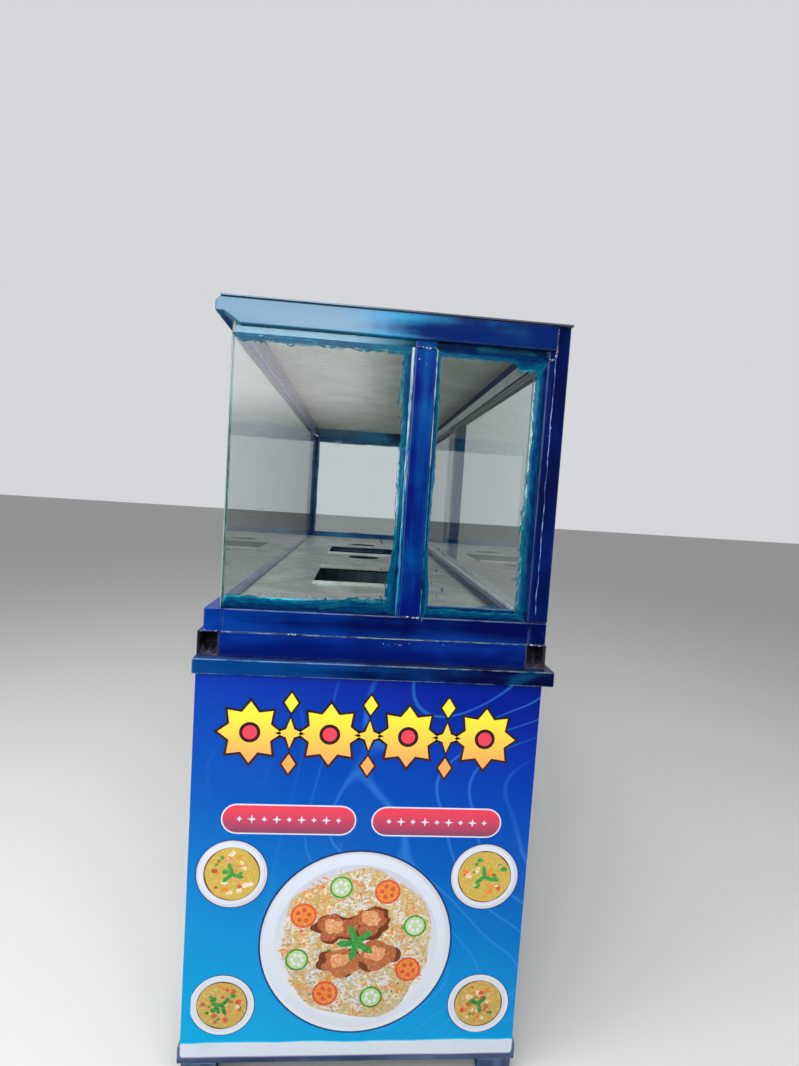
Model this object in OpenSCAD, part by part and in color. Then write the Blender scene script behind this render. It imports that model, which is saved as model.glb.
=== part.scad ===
/* [Overall] */
// Length over the counter rim, end to end along Y
overall_l = 2134; // [2000:2:2300]
// Width over the counter rim, from the customer side (-X) to the server side (+X)
overall_w = 762; // [750:1:790]

/* [Base] */
// Height of the foot pads under the bottom rails
foot_h = 35; // [20:1:80]
// Side of a square foot pad
foot_side = 75; // [50:1:90]
// Side of the square tubes in the bottom frame
base_tube = 38; // [30:1:40]
// Thickness of the base's sheet walls
wall_t = 2; // [1.5:0.5:3]
// How far the customer-side wall stands in from the rim
customer_wall_in = 9; // [8:1:12]
// How far the server-side wall stands in from the rim
server_wall_in = 27; // [20:1:30]
// How far each end wall stands in from the rim
end_wall_in = 6; // [6:1:10]
// Height of the lower edge of the printed sheet on an end wall
banner_low = 50; // [45:1:70]
// Thickness of the printed sheets
banner_t = 2; // [1:0.5:2]

/* [Rim] */
// Height of the rim's lower edge above the floor
rim_low = 899; // [850:1:950]
// Height of the rim's hanging leg
rim_h = 32; // [25:1:40]
// Width of the rim's flat leg
rim_w = 38; // [30:1:40]
// Thickness of the rim's angle iron
rim_t = 4; // [3:0.5:5]

/* [Counter frame] */
// Height of the open-ended tubes on the rim
lower_tube_h = 53; // [45:1:60]
// Width of the open-ended tubes
lower_tube_w = 45; // [40:1:48]
// Wall of the open-ended tubes
lower_tube_wall = 3; // [2:0.5:4]
// Depth of the open stretch at each end of those tubes
lower_tube_open = 60; // [30:5:200]
// Height of the sill tubes under the glass
sill_h = 49; // [45:1:55]
// Width of the sill tubes
sill_w = 38; // [34:1:42]
// Thickness of the steel counter sheet
sheet_t = 3; // [2:0.5:4]
// Width of each square cut-out, across the counter
pan_w = 300; // [200:5:340]
// Length of each square cut-out, along the counter
pan_l = 340; // [250:5:345]
// Diameter of each round cut-out
pot_d = 128; // [100:2:140]
// Height of the turned-up lips of the square cut-outs
lip_h = 9; // [5:1:15]

/* [Cabinet] */
// Width of the posts
post_w = 45; // [40:1:50]
// Depth of the posts along the counter
post_d = 38; // [34:1:42]
// Height of the glazing strips along the sills
low_strip_h = 24; // [15:1:30]
// Height of the glazing strips under the top rails
top_strip_h = 16; // [10:1:25]
// Clear height from the sills to the end rails of the roof
glass_h = 577; // [500:1:650]
// Thickness of the fixed panes
pane_t = 5; // [4:0.5:6]
// Thickness of the sliding panes
slider_t = 4; // [3:0.5:5]

/* [Roof] */
// Height of the end rails of the roof
top_rail_h = 51; // [45:1:60]
// Thickness of the roof sheet
roof_t = 4; // [2:0.5:5]
// Thickness of the ceiling board
ceiling_t = 6; // [4:1:8]

/* [Hidden] */

// Faces of the bounding box
end_y = overall_l / 2;
rim_x = overall_w / 2;

// Levels, from the floor up
base_tube_top = foot_h + base_tube;
rim_leg_top = rim_low + rim_h - rim_t;
rim_top = rim_low + rim_h;
lower_tube_top = rim_top + lower_tube_h;
sill_top = lower_tube_top + sill_h;
sheet_top = sill_top - 2;
glass_top = sill_top + glass_h;
top_rail_top = glass_top + top_rail_h;
roof_top = top_rail_top + roof_t;

// Base walls, outer faces
wall_customer_x = -rim_x + customer_wall_in;
wall_server_x = rim_x - server_wall_in;
wall_end_y = end_y - end_wall_in;
// The bottom frame is a little wider than the walls on the server side
bottom_server_x = wall_server_x + 10;

// Counter frame, outer faces
lower_customer_x = -rim_x + 3;
lower_server_x = rim_x - 16;
lower_end_y = end_y - 20;
sill_customer_x = -rim_x + 15;
sill_server_x = rim_x - 20;
sill_end_y = end_y - 18;

// Inner edges of the sills, and of the posts on the server side
sill_in_customer = sill_customer_x + sill_w;
sill_in_server = sill_server_x - sill_w;
post_server_x = sill_server_x + 1;
post_in_server = post_server_x - post_w;
post_in_y = sill_end_y - post_d;

// Centre post of the near end, and middle post of the server side
centre_post_x = 37;
middle_post_y = 43;

// Cut-outs: the axis they share and their centres along the counter
cut_x = -28;
pan_ys = [-497, 279];
pot_ys = [-933, 41, 585];
saw_cut_l = 28;
saw_cut_w = 3;
lip_t = 2;

// Cross bearers under the counter sheet
bearer = 25;
bearer_ys = [-812, -190, 495, 850];

// Sliding glass: ledge, tracks and panes
ledge_w = 51;
ledge_h = 19;
track_w = 32;
track_wall = 2;
track_low_h = 10;
track_top_h = 26;
track_x = sill_in_server - track_w;
track_low_z = sheet_top + ledge_h;
track_top_z = glass_top - track_top_h - 4;
groove = (track_w - 3 * track_wall) / 2;
slider_low = track_low_z + track_wall;
slider_top = track_top_z + track_top_h - 2 * track_wall - 2;
slider_lap = 25;

// Panes: how far they stand back from the posts' faces
pane_set = 4;
strip_d = 12;
pane_y = sill_end_y - pane_set;
pane_customer_x = sill_in_customer - pane_t;

// Roof: end rails stand proud of the posts, and the server post runs up past them
top_rail_proud = 6;
top_rail_d = 38;
top_rail_y = sill_end_y + top_rail_proud;
top_rail_in_y = top_rail_y - top_rail_d;
post_tall_w = 29;
post_step_x = post_server_x - post_tall_w;
side_rail_h = 67;
side_rail_w = 40;
roof_lip = 3;

// Outline of the customer-side eave, in X and Z above the glass top: it leans out over the sill
nose_x = sill_customer_x - 1;
eave_in_x = nose_x + 48;
function eave_outline() = [
    [eave_in_x, 0],
    [nose_x + 38, 8],
    [nose_x + 17, 21],
    [nose_x, 21],
    [nose_x, top_rail_h - 9],
    [nose_x + 10, top_rail_h]
];

module block(low, high) {
    translate(low) cube(high - low);
}

// Its children at the near end, written there in full, and mirrored at the far end
module at_both_ends() {
    children();
    mirror([0, 1, 0]) children();
}

module foot_pads() {
    color("slategray") at_both_ends() {
        for (x = [wall_customer_x, wall_server_x + 2 - foot_side])
            block([x, -wall_end_y, 0], [x + foot_side, -wall_end_y + foot_side, foot_h]);
    }
}

module bottom_rails_ends() {
    color("steelblue") at_both_ends()
        block([-rim_x, -wall_end_y, foot_h], [bottom_server_x, -wall_end_y + base_tube, base_tube_top]);
}

module bottom_rails_sides() {
    in_y = wall_end_y - base_tube;
    color("steelblue") {
        block([-rim_x, -in_y, foot_h], [-rim_x + base_tube, in_y, base_tube_top]);
        block([bottom_server_x - base_tube, -in_y, foot_h], [bottom_server_x, in_y, base_tube_top]);
    }
}

// Four corner uprights and one in the middle of each long wall, behind the sheet walls
module base_uprights() {
    side = 30;
    low = base_tube_top;
    in_customer = wall_customer_x + wall_t;
    in_server = wall_server_x - wall_t - side;
    in_end = wall_end_y - wall_t;
    color("midnightblue")
        for (x = [in_customer, in_server], y = [-in_end, -side / 2, in_end - side])
            block([x, y, low], [x + side, y + side, rim_leg_top]);
}

module end_wall() {
    block([wall_customer_x, -wall_end_y, base_tube_top],
          [wall_server_x, -wall_end_y + wall_t, rim_leg_top]);
}

module end_wall_near() {
    color("royalblue") end_wall();
}

module end_wall_far() {
    color("royalblue") mirror([0, 1, 0]) end_wall();
}

module side_wall(x) {
    in_y = wall_end_y - wall_t;
    color("royalblue") block([x, -in_y, base_tube_top], [x + wall_t, in_y, rim_leg_top]);
}

module side_wall_customer() {
    side_wall(wall_customer_x);
}

module side_wall_server() {
    side_wall(wall_server_x - wall_t);
}

// Printed sheet on an end wall: it hangs past the wall, over the bottom rail's face
module end_banner() {
    block([wall_customer_x - 1.5, -wall_end_y - banner_t, banner_low],
          [wall_server_x + 1.5, -wall_end_y, rim_low]);
}

module banner_near() {
    color("deepskyblue") end_banner();
}

module banner_far() {
    color("deepskyblue") mirror([0, 1, 0]) end_banner();
}

module banner_customer() {
    color("deepskyblue")
        block([wall_customer_x - banner_t, -wall_end_y, base_tube_top + 3],
              [wall_customer_x, wall_end_y, rim_low]);
}

// Angle iron with its flat leg on the walls and its other leg hanging in front of them
module rim_ends() {
    color("navy") at_both_ends() {
        block([-rim_x, -end_y, rim_leg_top], [rim_x, -end_y + rim_w, rim_top]);
        block([-rim_x, -end_y, rim_low], [rim_x, -end_y + rim_t, rim_leg_top]);
    }
}

module rim_sides() {
    flat_y = end_y - rim_w;
    leg_y = end_y - rim_t;
    color("navy") for (side = [-1, 1]) {
        flat_x = side > 0 ? rim_x - rim_w : -rim_x;
        leg_x = side > 0 ? rim_x - rim_t : -rim_x;
        block([flat_x, -flat_y, rim_leg_top], [flat_x + rim_w, flat_y, rim_top]);
        block([leg_x, -leg_y, rim_low], [leg_x + rim_t, leg_y, rim_leg_top]);
    }
}

// Long tube whose two ends are left open
module lower_tube(x) {
    bore_low = [x + lower_tube_wall, -lower_end_y - 1, rim_top + lower_tube_wall];
    bore_high = [x + lower_tube_w - lower_tube_wall, -lower_end_y + lower_tube_open,
                 lower_tube_top - lower_tube_wall];
    color("mediumblue") difference() {
        block([x, -lower_end_y, rim_top], [x + lower_tube_w, lower_end_y, lower_tube_top]);
        at_both_ends() block(bore_low, bore_high);
    }
}

module lower_tube_customer() {
    lower_tube(lower_customer_x);
}

module lower_tube_server() {
    lower_tube(lower_server_x - lower_tube_w);
}

module lower_cross_tubes() {
    color("mediumblue") at_both_ends()
        block([lower_customer_x + lower_tube_w, -lower_end_y, rim_top],
              [lower_server_x - lower_tube_w, -lower_end_y + base_tube, lower_tube_top]);
}

module end_sill() {
    block([sill_in_customer, -sill_end_y, lower_tube_top],
          [sill_in_server, -sill_end_y + sill_w, sill_top]);
}

module sill_near() {
    color("navy") end_sill();
}

module sill_far() {
    color("navy") mirror([0, 1, 0]) end_sill();
}

module side_sill(x) {
    color("navy") block([x, -sill_end_y, lower_tube_top], [x + sill_w, sill_end_y, sill_top]);
}

module sill_customer() {
    side_sill(sill_customer_x);
}

module sill_server() {
    side_sill(sill_in_server);
}

// Square cut-out, with the saw's overrun past its near corner
module pan_cut(y) {
    low = sheet_top - sheet_t - 1;
    block([cut_x - pan_w / 2, y - pan_l / 2, low], [cut_x + pan_w / 2, y + pan_l / 2, sheet_top + 1]);
    block([cut_x - pan_w / 2 - saw_cut_l, y - pan_l / 2, low],
          [cut_x, y - pan_l / 2 + saw_cut_w, sheet_top + 1]);
}

// Strips of the sheet turned up along the near and far edges of a square cut-out
module pan_lips(y) {
    for (edge = [y - pan_l / 2 - lip_t, y + pan_l / 2])
        block([cut_x - pan_w / 2, edge, sheet_top - 0.5],
              [cut_x + pan_w / 2, edge + lip_t, sheet_top + lip_h]);
}

module counter_top() {
    in_y = sill_end_y - sill_w;
    color("lightgray") {
        difference() {
            block([sill_in_customer, -in_y, sheet_top - sheet_t], [sill_in_server, in_y, sheet_top]);
            for (y = pan_ys) pan_cut(y);
            for (y = pot_ys)
                translate([cut_x, y, sheet_top - sheet_t - 1]) cylinder(h = sheet_t + 2, d = pot_d, $fn = 64);
        }
        for (y = pan_ys) pan_lips(y);
    }
}

module counter_bearers() {
    top = sheet_top - sheet_t;
    color("slategray") for (y = bearer_ys)
        block([sill_in_customer, y, top - bearer], [sill_in_server, y + bearer, top]);
}

// Painted tube on the counter sheet that carries the lower track
module track_ledge() {
    color("slateblue")
        block([sill_in_server - ledge_w, -post_in_y, sheet_top],
              [sill_in_server, post_in_y, track_low_z]);
}

// Outline of a double channel, open upwards
module track_outline(h) {
    difference() {
        square([track_w, h]);
        for (x = [track_wall, 2 * track_wall + groove])
            translate([x, track_wall]) square([groove, h]);
    }
}

module track_bottom() {
    color("silver") translate([track_x, post_in_y, track_low_z])
        rotate([90, 0, 0]) linear_extrude(2 * post_in_y) track_outline(track_low_h);
}

module track_top() {
    color("silver") translate([track_x, post_in_y, track_top_z + track_top_h]) mirror([0, 0, 1])
        rotate([90, 0, 0]) linear_extrude(2 * post_in_y) track_outline(track_top_h);
}

module post_near_centre() {
    color("mediumblue")
        block([centre_post_x, -sill_end_y, sill_top],
              [centre_post_x + post_w, -post_in_y, glass_top]);
}

// The outer part of a server-side corner post runs up past the end of the top rail
module server_corner_post() {
    block([post_in_server, -sill_end_y, sill_top], [post_server_x, -post_in_y, glass_top]);
    block([post_step_x, -sill_end_y, glass_top - 1], [post_server_x, -post_in_y, top_rail_top]);
}

module post_near_server() {
    color("navy") server_corner_post();
}

module post_far_server() {
    color("navy") mirror([0, 1, 0]) server_corner_post();
}

module post_middle_server() {
    side_rail_low = top_rail_top - side_rail_h;
    color("navy")
        block([sill_in_server, middle_post_y - post_d / 2, sill_top],
              [sill_server_x, middle_post_y + post_d / 2, side_rail_low]);
}

module post_far_customer() {
    color("navy")
        block([sill_customer_x, post_in_y, sill_top], [sill_customer_x + post_w, sill_end_y, glass_top]);
}

// Painted strips behind a pane, along the sill and under the top rail
module glazing_strips(from_x, to_x) {
    back_y = pane_y - pane_t;
    for (level = [[sill_top, sill_top + low_strip_h], [glass_top - top_strip_h, glass_top]])
        block([from_x, -back_y, level[0]], [to_x, -back_y + strip_d, level[1]]);
}

module glazing_strips_near() {
    color("teal") {
        glazing_strips(sill_in_customer, centre_post_x);
        glazing_strips(centre_post_x + post_w, post_in_server);
    }
}

module glazing_strips_far() {
    color("teal") mirror([0, 1, 0]) glazing_strips(sill_customer_x + post_w, post_in_server);
}

// End rail of the roof: its customer end is cut to the outline of the eave
module end_top_rail() {
    translate([0, -top_rail_in_y, glass_top]) rotate([90, 0, 0]) linear_extrude(top_rail_d)
        polygon(concat(eave_outline(), [[post_step_x, top_rail_h], [post_step_x, 0]]));
}

module top_rail_near() {
    color("royalblue") end_top_rail();
}

module top_rail_far() {
    color("royalblue") mirror([0, 1, 0]) end_top_rail();
}

module eave_customer() {
    color("steelblue") translate([0, top_rail_in_y, glass_top]) rotate([90, 0, 0])
        linear_extrude(2 * top_rail_in_y) polygon(concat(eave_outline(), [[eave_in_x, top_rail_h]]));
}

module top_rail_server() {
    color("navy")
        block([sill_server_x - side_rail_w, -post_in_y, top_rail_top - side_rail_h],
              [sill_server_x, post_in_y, top_rail_top]);
}

module ceiling_board() {
    color("lightgray")
        block([eave_in_x, -post_in_y, top_rail_top - ceiling_t],
              [sill_server_x - side_rail_w, post_in_y, top_rail_top]);
}

module roof_sheet() {
    color("lightsteelblue")
        block([nose_x + 10, -top_rail_y - roof_lip, top_rail_top],
              [post_server_x + 1, top_rail_y + roof_lip, roof_top]);
}

module end_pane(from_x, to_x) {
    block([from_x, -pane_y, sill_top], [to_x, -pane_y + pane_t, glass_top]);
}

module pane_near_customer() {
    color("lightcyan", 0.4) end_pane(pane_customer_x, centre_post_x);
}

module pane_near_server() {
    color("lightcyan", 0.4) end_pane(centre_post_x + post_w, post_in_server);
}

module pane_far() {
    color("lightcyan", 0.4) mirror([0, 1, 0]) end_pane(sill_customer_x + post_w, post_in_server);
}

// One long pane from the near end's pane, which it meets edge to edge, to the far post
module pane_customer() {
    color("lightcyan", 0.4)
        block([pane_customer_x, -pane_y + pane_t, sill_top], [sill_in_customer, post_in_y, glass_top + 7]);
}

module slider(groove_x, from_y, to_y) {
    x = groove_x + (groove - slider_t) / 2;
    color("lightcyan", 0.4) block([x, from_y, slider_low], [x + slider_t, to_y, slider_top]);
}

module sliding_pane_near() {
    slider(track_x + track_wall, -post_in_y, middle_post_y + slider_lap);
}

module sliding_pane_far() {
    slider(track_x + 2 * track_wall + groove, middle_post_y - slider_lap, post_in_y);
}

foot_pads();
bottom_rails_ends();
bottom_rails_sides();
base_uprights();
end_wall_near();
end_wall_far();
side_wall_customer();
side_wall_server();
banner_near();
banner_far();
banner_customer();
rim_ends();
rim_sides();
lower_tube_customer();
lower_tube_server();
lower_cross_tubes();
sill_near();
sill_far();
sill_customer();
sill_server();
counter_top();
counter_bearers();
track_ledge();
track_bottom();
track_top();
post_near_centre();
post_near_server();
post_middle_server();
post_far_customer();
post_far_server();
glazing_strips_near();
glazing_strips_far();
top_rail_near();
top_rail_far();
eave_customer();
top_rail_server();
ceiling_board();
roof_sheet();
pane_near_customer();
pane_near_server();
pane_far();
pane_customer();
sliding_pane_near();
sliding_pane_far();
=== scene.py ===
"""Street food counter kiosk: the looks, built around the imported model."""

import math
import random

import bmesh
import bpy
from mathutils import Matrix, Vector, noise


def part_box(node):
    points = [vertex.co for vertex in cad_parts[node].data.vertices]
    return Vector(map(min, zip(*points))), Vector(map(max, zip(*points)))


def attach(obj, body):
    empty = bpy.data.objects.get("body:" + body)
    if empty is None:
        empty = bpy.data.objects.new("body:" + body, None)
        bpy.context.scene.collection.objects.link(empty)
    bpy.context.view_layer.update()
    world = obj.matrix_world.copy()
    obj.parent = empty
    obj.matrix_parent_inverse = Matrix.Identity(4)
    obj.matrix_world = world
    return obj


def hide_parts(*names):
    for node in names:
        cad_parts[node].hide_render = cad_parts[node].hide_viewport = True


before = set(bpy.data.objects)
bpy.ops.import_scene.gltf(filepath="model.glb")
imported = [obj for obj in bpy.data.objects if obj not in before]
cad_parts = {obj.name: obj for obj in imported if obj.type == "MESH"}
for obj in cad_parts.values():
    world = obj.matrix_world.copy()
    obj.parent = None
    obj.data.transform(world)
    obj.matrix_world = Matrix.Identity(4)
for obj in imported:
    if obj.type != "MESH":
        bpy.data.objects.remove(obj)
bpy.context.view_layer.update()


# Camera: a telephone held chest high, about a metre from the near end and a little to the
# customer side of its middle, with a wide lens.
CAMERA_PLACE = (-0.0596, -2.1752, 1.2847)
CAMERA_TURN = (86.245, -3.713, -4.222)
CAMERA_LENS = 18.226


def in_scene(name, data):
    """A new object of the scene that holds the data given."""
    made = bpy.data.objects.new(name, data)
    bpy.context.scene.collection.objects.link(made)
    return made


lens = bpy.data.cameras.new("camera")
lens.lens = CAMERA_LENS
camera = in_scene("camera", lens)
camera.location = CAMERA_PLACE
camera.rotation_euler = [math.radians(turn) for turn in CAMERA_TURN]
bpy.context.scene.camera = camera


# Feet: four square steel blocks under the corners of the base, brushed with the same thin slate
# blue as the bottom frame and dusty from the floor.
SLATE_DEEP = (0.030, 0.055, 0.115)
SLATE_CLEAR = (0.085, 0.135, 0.250)
SLATE_THIN = (0.16, 0.19, 0.23)
FLOOR_DUST = (0.30, 0.29, 0.27)
FOOT_EDGE = 0.002
ALONG_X = (2.2, 30.0, 30.0)
ALONG_Y = (30.0, 2.2, 30.0)
ALONG_Z = (30.0, 30.0, 2.2)


def fill(tree, sockets, values):
    """Sockets given their values or links; a colour is its red, green and blue."""
    for key, value in values.items():
        socket = sockets[key]
        if isinstance(value, bpy.types.NodeSocket):
            tree.links.new(value, socket)
        else:
            socket.default_value = (*value, 1) if socket.type == "RGBA" else value


def node(tree, kind, inputs=None, **settings):
    """A shader or geometry node with its settings and its sockets filled."""
    made = tree.nodes.new(kind)
    for key, value in settings.items():
        setattr(made, key, value)
    fill(tree, made.inputs, inputs or {})
    return made


def maths(tree, operation, first, second=0.5, third=0.5, clamp=False):
    """One Math node's result."""
    return node(tree, "ShaderNodeMath", {0: first, 1: second, 2: third},
                operation=operation, use_clamp=clamp).outputs[0]


def times(tree, first, second):
    """One value multiplied by another."""
    return maths(tree, "MULTIPLY", first, second)


def one_axis(tree, place, axis):
    """One coordinate of a place."""
    return node(tree, "ShaderNodeSeparateXYZ", {0: place}).outputs[axis]


def stretched(tree, place, amounts):
    """A place stretched by its own amount along each axis."""
    return node(tree, "ShaderNodeVectorMath", {0: place, 1: amounts},
                operation="MULTIPLY").outputs[0]


def blend(tree, share, first, second):
    """One colour mixed with another."""
    return node(tree, "ShaderNodeMix", {0: share, 6: first, 7: second},
                data_type="RGBA").outputs[2]


def fade(tree, value, low, high, to_low=0.0, to_high=1.0):
    """A value carried smoothly from one range to another."""
    return node(tree, "ShaderNodeMapRange",
                {0: value, 1: low, 2: high, 3: to_low, 4: to_high},
                interpolation_type="SMOOTHSTEP").outputs[0]


def cloud(tree, place, scale, detail=2.0, roughness=0.5, distortion=0.0):
    """Soft noise at a place."""
    return node(tree, "ShaderNodeTexNoise",
                {"Vector": place, "Scale": scale, "Detail": detail,
                 "Roughness": roughness, "Distortion": distortion}).outputs["Fac"]


def facing_up(tree):
    """How far a surface faces up: 1 for a flat top, 0 for a wall."""
    return one_axis(tree, tree.nodes.new("ShaderNodeNewGeometry").outputs["Normal"], 2)


def node_group(kind, name, takes, gives):
    """An empty node group: its tree and the sockets of its named inputs and outputs."""
    tree = bpy.data.node_groups.new(name, kind)
    for direction, sockets in (("INPUT", takes), ("OUTPUT", gives)):
        for label, socket_kind in sockets.items():
            tree.interface.new_socket(label, in_out=direction,
                                      socket_type="NodeSocket" + socket_kind)
    take, give = tree.nodes.new("NodeGroupInput"), tree.nodes.new("NodeGroupOutput")
    return tree, take.outputs, give.inputs


def hand_brushed_group():
    """Enamel laid on by hand: streaks along the brush, thick and thin patches, ripples, and a
    painted shade that slopes the colour across the piece along Lean.
    """
    tree, take, give = node_group(
        "ShaderNodeTree", "hand_brushed",
        {"Place": "Vector", "Along": "Vector", "Deep": "Color", "Clear": "Color",
         "Thin": "Color", "Thin Share": "Float", "Lean": "Vector", "Shift": "Float"},
        {"Color": "Color", "Roughness": "Float", "Height": "Float"})
    streaks = cloud(tree, stretched(tree, take["Place"], take["Along"]), 1.0, 3.0)
    patches = cloud(tree, take["Place"], 5.5, 3.0, 0.5, 0.6)
    ripples = cloud(tree, take["Place"], 34.0, 1.0)
    cover = maths(tree, "MULTIPLY_ADD", streaks, 0.55, times(tree, patches, 0.45))
    # Lean slopes the cover across the piece, a painted shade: the colour turns deeper on the side
    # Lean points away from.
    lean = node(tree, "ShaderNodeVectorMath", {0: take["Place"], 1: take["Lean"]},
                operation="DOT_PRODUCT").outputs["Value"]
    cover = maths(tree, "ADD", cover, maths(tree, "ADD", lean, take["Shift"]))
    body = blend(tree, fade(tree, cover, 0.38, 0.62), take["Deep"], take["Clear"])
    bare = times(tree, fade(tree, patches, 0.52, 0.70), take["Thin Share"])
    bare = maths(tree, "MULTIPLY", bare, fade(tree, streaks, 0.35, 0.6, 0.4, 1.0), clamp=True)
    fill(tree, give, {"Color": blend(tree, bare, body, take["Thin"]),
                      "Roughness": fade(tree, streaks, 0.3, 0.75, 0.09, 0.26),
                      "Height": maths(tree, "MULTIPLY_ADD", streaks, 0.5, ripples)})
    return tree


def edge_group():
    """How close a point is to an outer edge, broken up by noise: the mask for wear and a painted
    highlight.
    """
    tree, take, give = node_group("ShaderNodeTree", "edge_wear",
                                  {"Place": "Vector", "Reach": "Float"}, {"Mask": "Float"})
    rounded = node(tree, "ShaderNodeBevel", {"Radius": take["Reach"]}, samples=6).outputs[0]
    flat = tree.nodes.new("ShaderNodeNewGeometry").outputs["Normal"]
    close = node(tree, "ShaderNodeVectorMath", {0: rounded, 1: flat}, operation="DOT_PRODUCT")
    near = fade(tree, close.outputs["Value"], 0.998, 0.93)
    uneven = fade(tree, cloud(tree, take["Place"], 26.0, 4.0, 0.6), 0.34, 0.54)
    fill(tree, give, {"Mask": times(tree, near, uneven)})
    return tree


def dust_group():
    """Dust that has settled on what faces up."""
    tree, take, give = node_group("ShaderNodeTree", "settled_dust",
                                  {"Place": "Vector", "Amount": "Float"}, {"Mask": "Float"})
    patchy = fade(tree, cloud(tree, take["Place"], 18.0, 4.0, 0.65), 0.30, 0.75, 0.25, 1.0)
    lying = times(tree, fade(tree, facing_up(tree), 0.55, 1.0), patchy)
    fill(tree, give, {"Mask": times(tree, lying, take["Amount"])})
    return tree


HAND_BRUSHED = hand_brushed_group()
WEAR_AND_GLINT_GROUP = edge_group()
SETTLED_DUST = dust_group()


def group(tree, of, inputs):
    """One of the shared groups placed in a material."""
    return node(tree, "ShaderNodeGroup", inputs, node_tree=of).outputs


def wear_and_glint_mask(tree, place, reach):
    """The mask of the edges that carry wear and a painted highlight."""
    return group(tree, WEAR_AND_GLINT_GROUP, {"Place": place, "Reach": reach})["Mask"]


def settled_dust(tree, place, amount):
    """The mask of the settled dust."""
    return group(tree, SETTLED_DUST, {"Place": place, "Amount": amount})["Mask"]


def new_material(name):
    """An empty material: its tree, its Principled shader's sockets and Object coordinates."""
    material = bpy.data.materials.new(name)
    material.use_nodes = True
    tree = material.node_tree
    place = tree.nodes.new("ShaderNodeTexCoord").outputs["Object"]
    return material, tree, tree.nodes["Principled BSDF"].inputs, place


def raised(tree, looks, height, strength, distance):
    """Height to the shader's Normal through a Bump node."""
    bump = node(tree, "ShaderNodeBump",
                {"Height": height, "Strength": strength, "Distance": distance})
    fill(tree, looks, {"Normal": bump.outputs["Normal"]})


def enamel(name, along, deep, clear, thin, thin_share=0.5, wear_and_glint_colour=(0.20, 0.42, 0.62),
           wear_and_glint_share=0.5, dusty=0.25, relief=0.35, lean=(0, 0, 0), shift=0.0, shine=0.22,
           painted_glare=None):
    """Brushed enamel: its colours, with lighter edges that are partly wear and partly a painted
    highlight, an optional painted glare at the customer end, and dust.
    """
    material, tree, looks, place = new_material(name)
    paint = group(tree, HAND_BRUSHED,
                  {"Place": place, "Along": along, "Deep": deep, "Clear": clear, "Thin": thin,
                   "Thin Share": thin_share, "Lean": lean, "Shift": shift})
    edge = times(tree, wear_and_glint_mask(tree, place, 0.0030), wear_and_glint_share)
    dust = settled_dust(tree, place, dusty)
    # The lighter edge colour is partly wear and partly a painted highlight along the rounded
    # edges.
    colour = blend(tree, edge, paint["Color"], wear_and_glint_colour)
    # Towards the customer end the colour turns to a painted glare, a reflection laid into the
    # paint.
    if painted_glare:
        colour = blend(tree, fade(tree, one_axis(tree, place, 0), 0.0, -0.14), colour, painted_glare)
    fill(tree, looks, {"Base Color": blend(tree, dust, colour, FLOOR_DUST),
                       "Roughness": maths(tree, "MULTIPLY_ADD", dust, 0.5, paint["Roughness"]),
                       "Specular IOR Level": shine})
    raised(tree, looks, paint["Height"], relief, 0.0006)
    return material


def welded_copy(name):
    """A CAD node's shape with its triangles joined up, ready for its edges to be rounded."""
    form = bmesh.new()
    form.from_mesh(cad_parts[name].data)
    bmesh.ops.remove_doubles(form, verts=form.verts, dist=0.00001)
    bmesh.ops.dissolve_limit(form, angle_limit=math.radians(1), verts=form.verts,
                             edges=form.edges)
    return form


def piece(name, form, material):
    """A bmesh made into a piece that rides on the kiosk."""
    mesh = bpy.data.meshes.new(name)
    form.to_mesh(mesh)
    form.free()
    made = in_scene(name, mesh)
    if material:
        mesh.materials.append(material)
    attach(made, "root")
    return made


def painted(name, material, radius):
    """A CAD node's shape with rolled or ground edges, which stands for the node."""
    made = piece("painted_" + name, welded_copy(name), material)
    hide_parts(name)
    made.data.shade_smooth()
    bevel = made.modifiers.new("rounded_edges", "BEVEL")
    bevel.width = radius
    bevel.segments = 2
    bevel.limit_method = "ANGLE"
    bevel.angle_limit = math.radians(25)
    even = made.modifiers.new("even_shading", "WEIGHTED_NORMAL")
    even.mode = "FACE_AREA"
    even.weight = 100
    return made


foot_enamel = enamel("foot_enamel", ALONG_Z, SLATE_DEEP, SLATE_CLEAR, SLATE_THIN, 0.8,
                     wear_and_glint_colour=(0.22, 0.20, 0.18), wear_and_glint_share=0.8, dusty=0.6)
painted("foot_pads", foot_enamel, FOOT_EDGE)


# Bottom frame: square tubes that carry the base, welded at the corners and painted thinly in
# slate blue, so that they look greyer than the rest.
BASE_TUBE_EDGE = 0.003
for rails, along in (("bottom_rails_ends", ALONG_X), ("bottom_rails_sides", ALONG_Y)):
    painted(rails, enamel(rails + "_slate", along, SLATE_DEEP, SLATE_CLEAR, SLATE_THIN, 0.7,
                          dusty=0.6), BASE_TUBE_EDGE)


# Base uprights: plain square bars inside the sheet walls, which show only from below and
# through the cut-outs.
NAVY_DEEP = (0.0008, 0.0030, 0.050)
NAVY_CLEAR = (0.0008, 0.014, 0.120)
TEAL_THIN = (0.002, 0.085, 0.170)
BAR_EDGE = 0.002
upright_navy = enamel("upright_navy", ALONG_Z, NAVY_DEEP, NAVY_CLEAR, TEAL_THIN, 0.3)
painted("base_uprights", upright_navy, BAR_EDGE)



# Base walls: thin steel sheet, brushed with blue enamel outside and left in a pale grey primer
# inside, pale enough to be partly a painted light on the dim inside of the base.
# The server side's sheet stays bare of print, so its strokes and the rivets that hold it show.
WALL_DEEP = (0.0006, 0.0100, 0.120)
WALL_CLEAR = (0.0006, 0.022, 0.185)
PRIMER_AND_LIGHT_DEEP = (0.17, 0.27, 0.35)
PRIMER_AND_LIGHT_CLEAR = (0.36, 0.50, 0.60)
PRIMER_AND_LIGHT_RUST = (0.22, 0.16, 0.12)
SHEET_METAL_EDGE = 0.0006
INNER_FACE = -0.3
RIVET_PITCH = 0.150
RIVET_RADIUS = 0.0045
RIVET_INSET = 0.016


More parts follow.
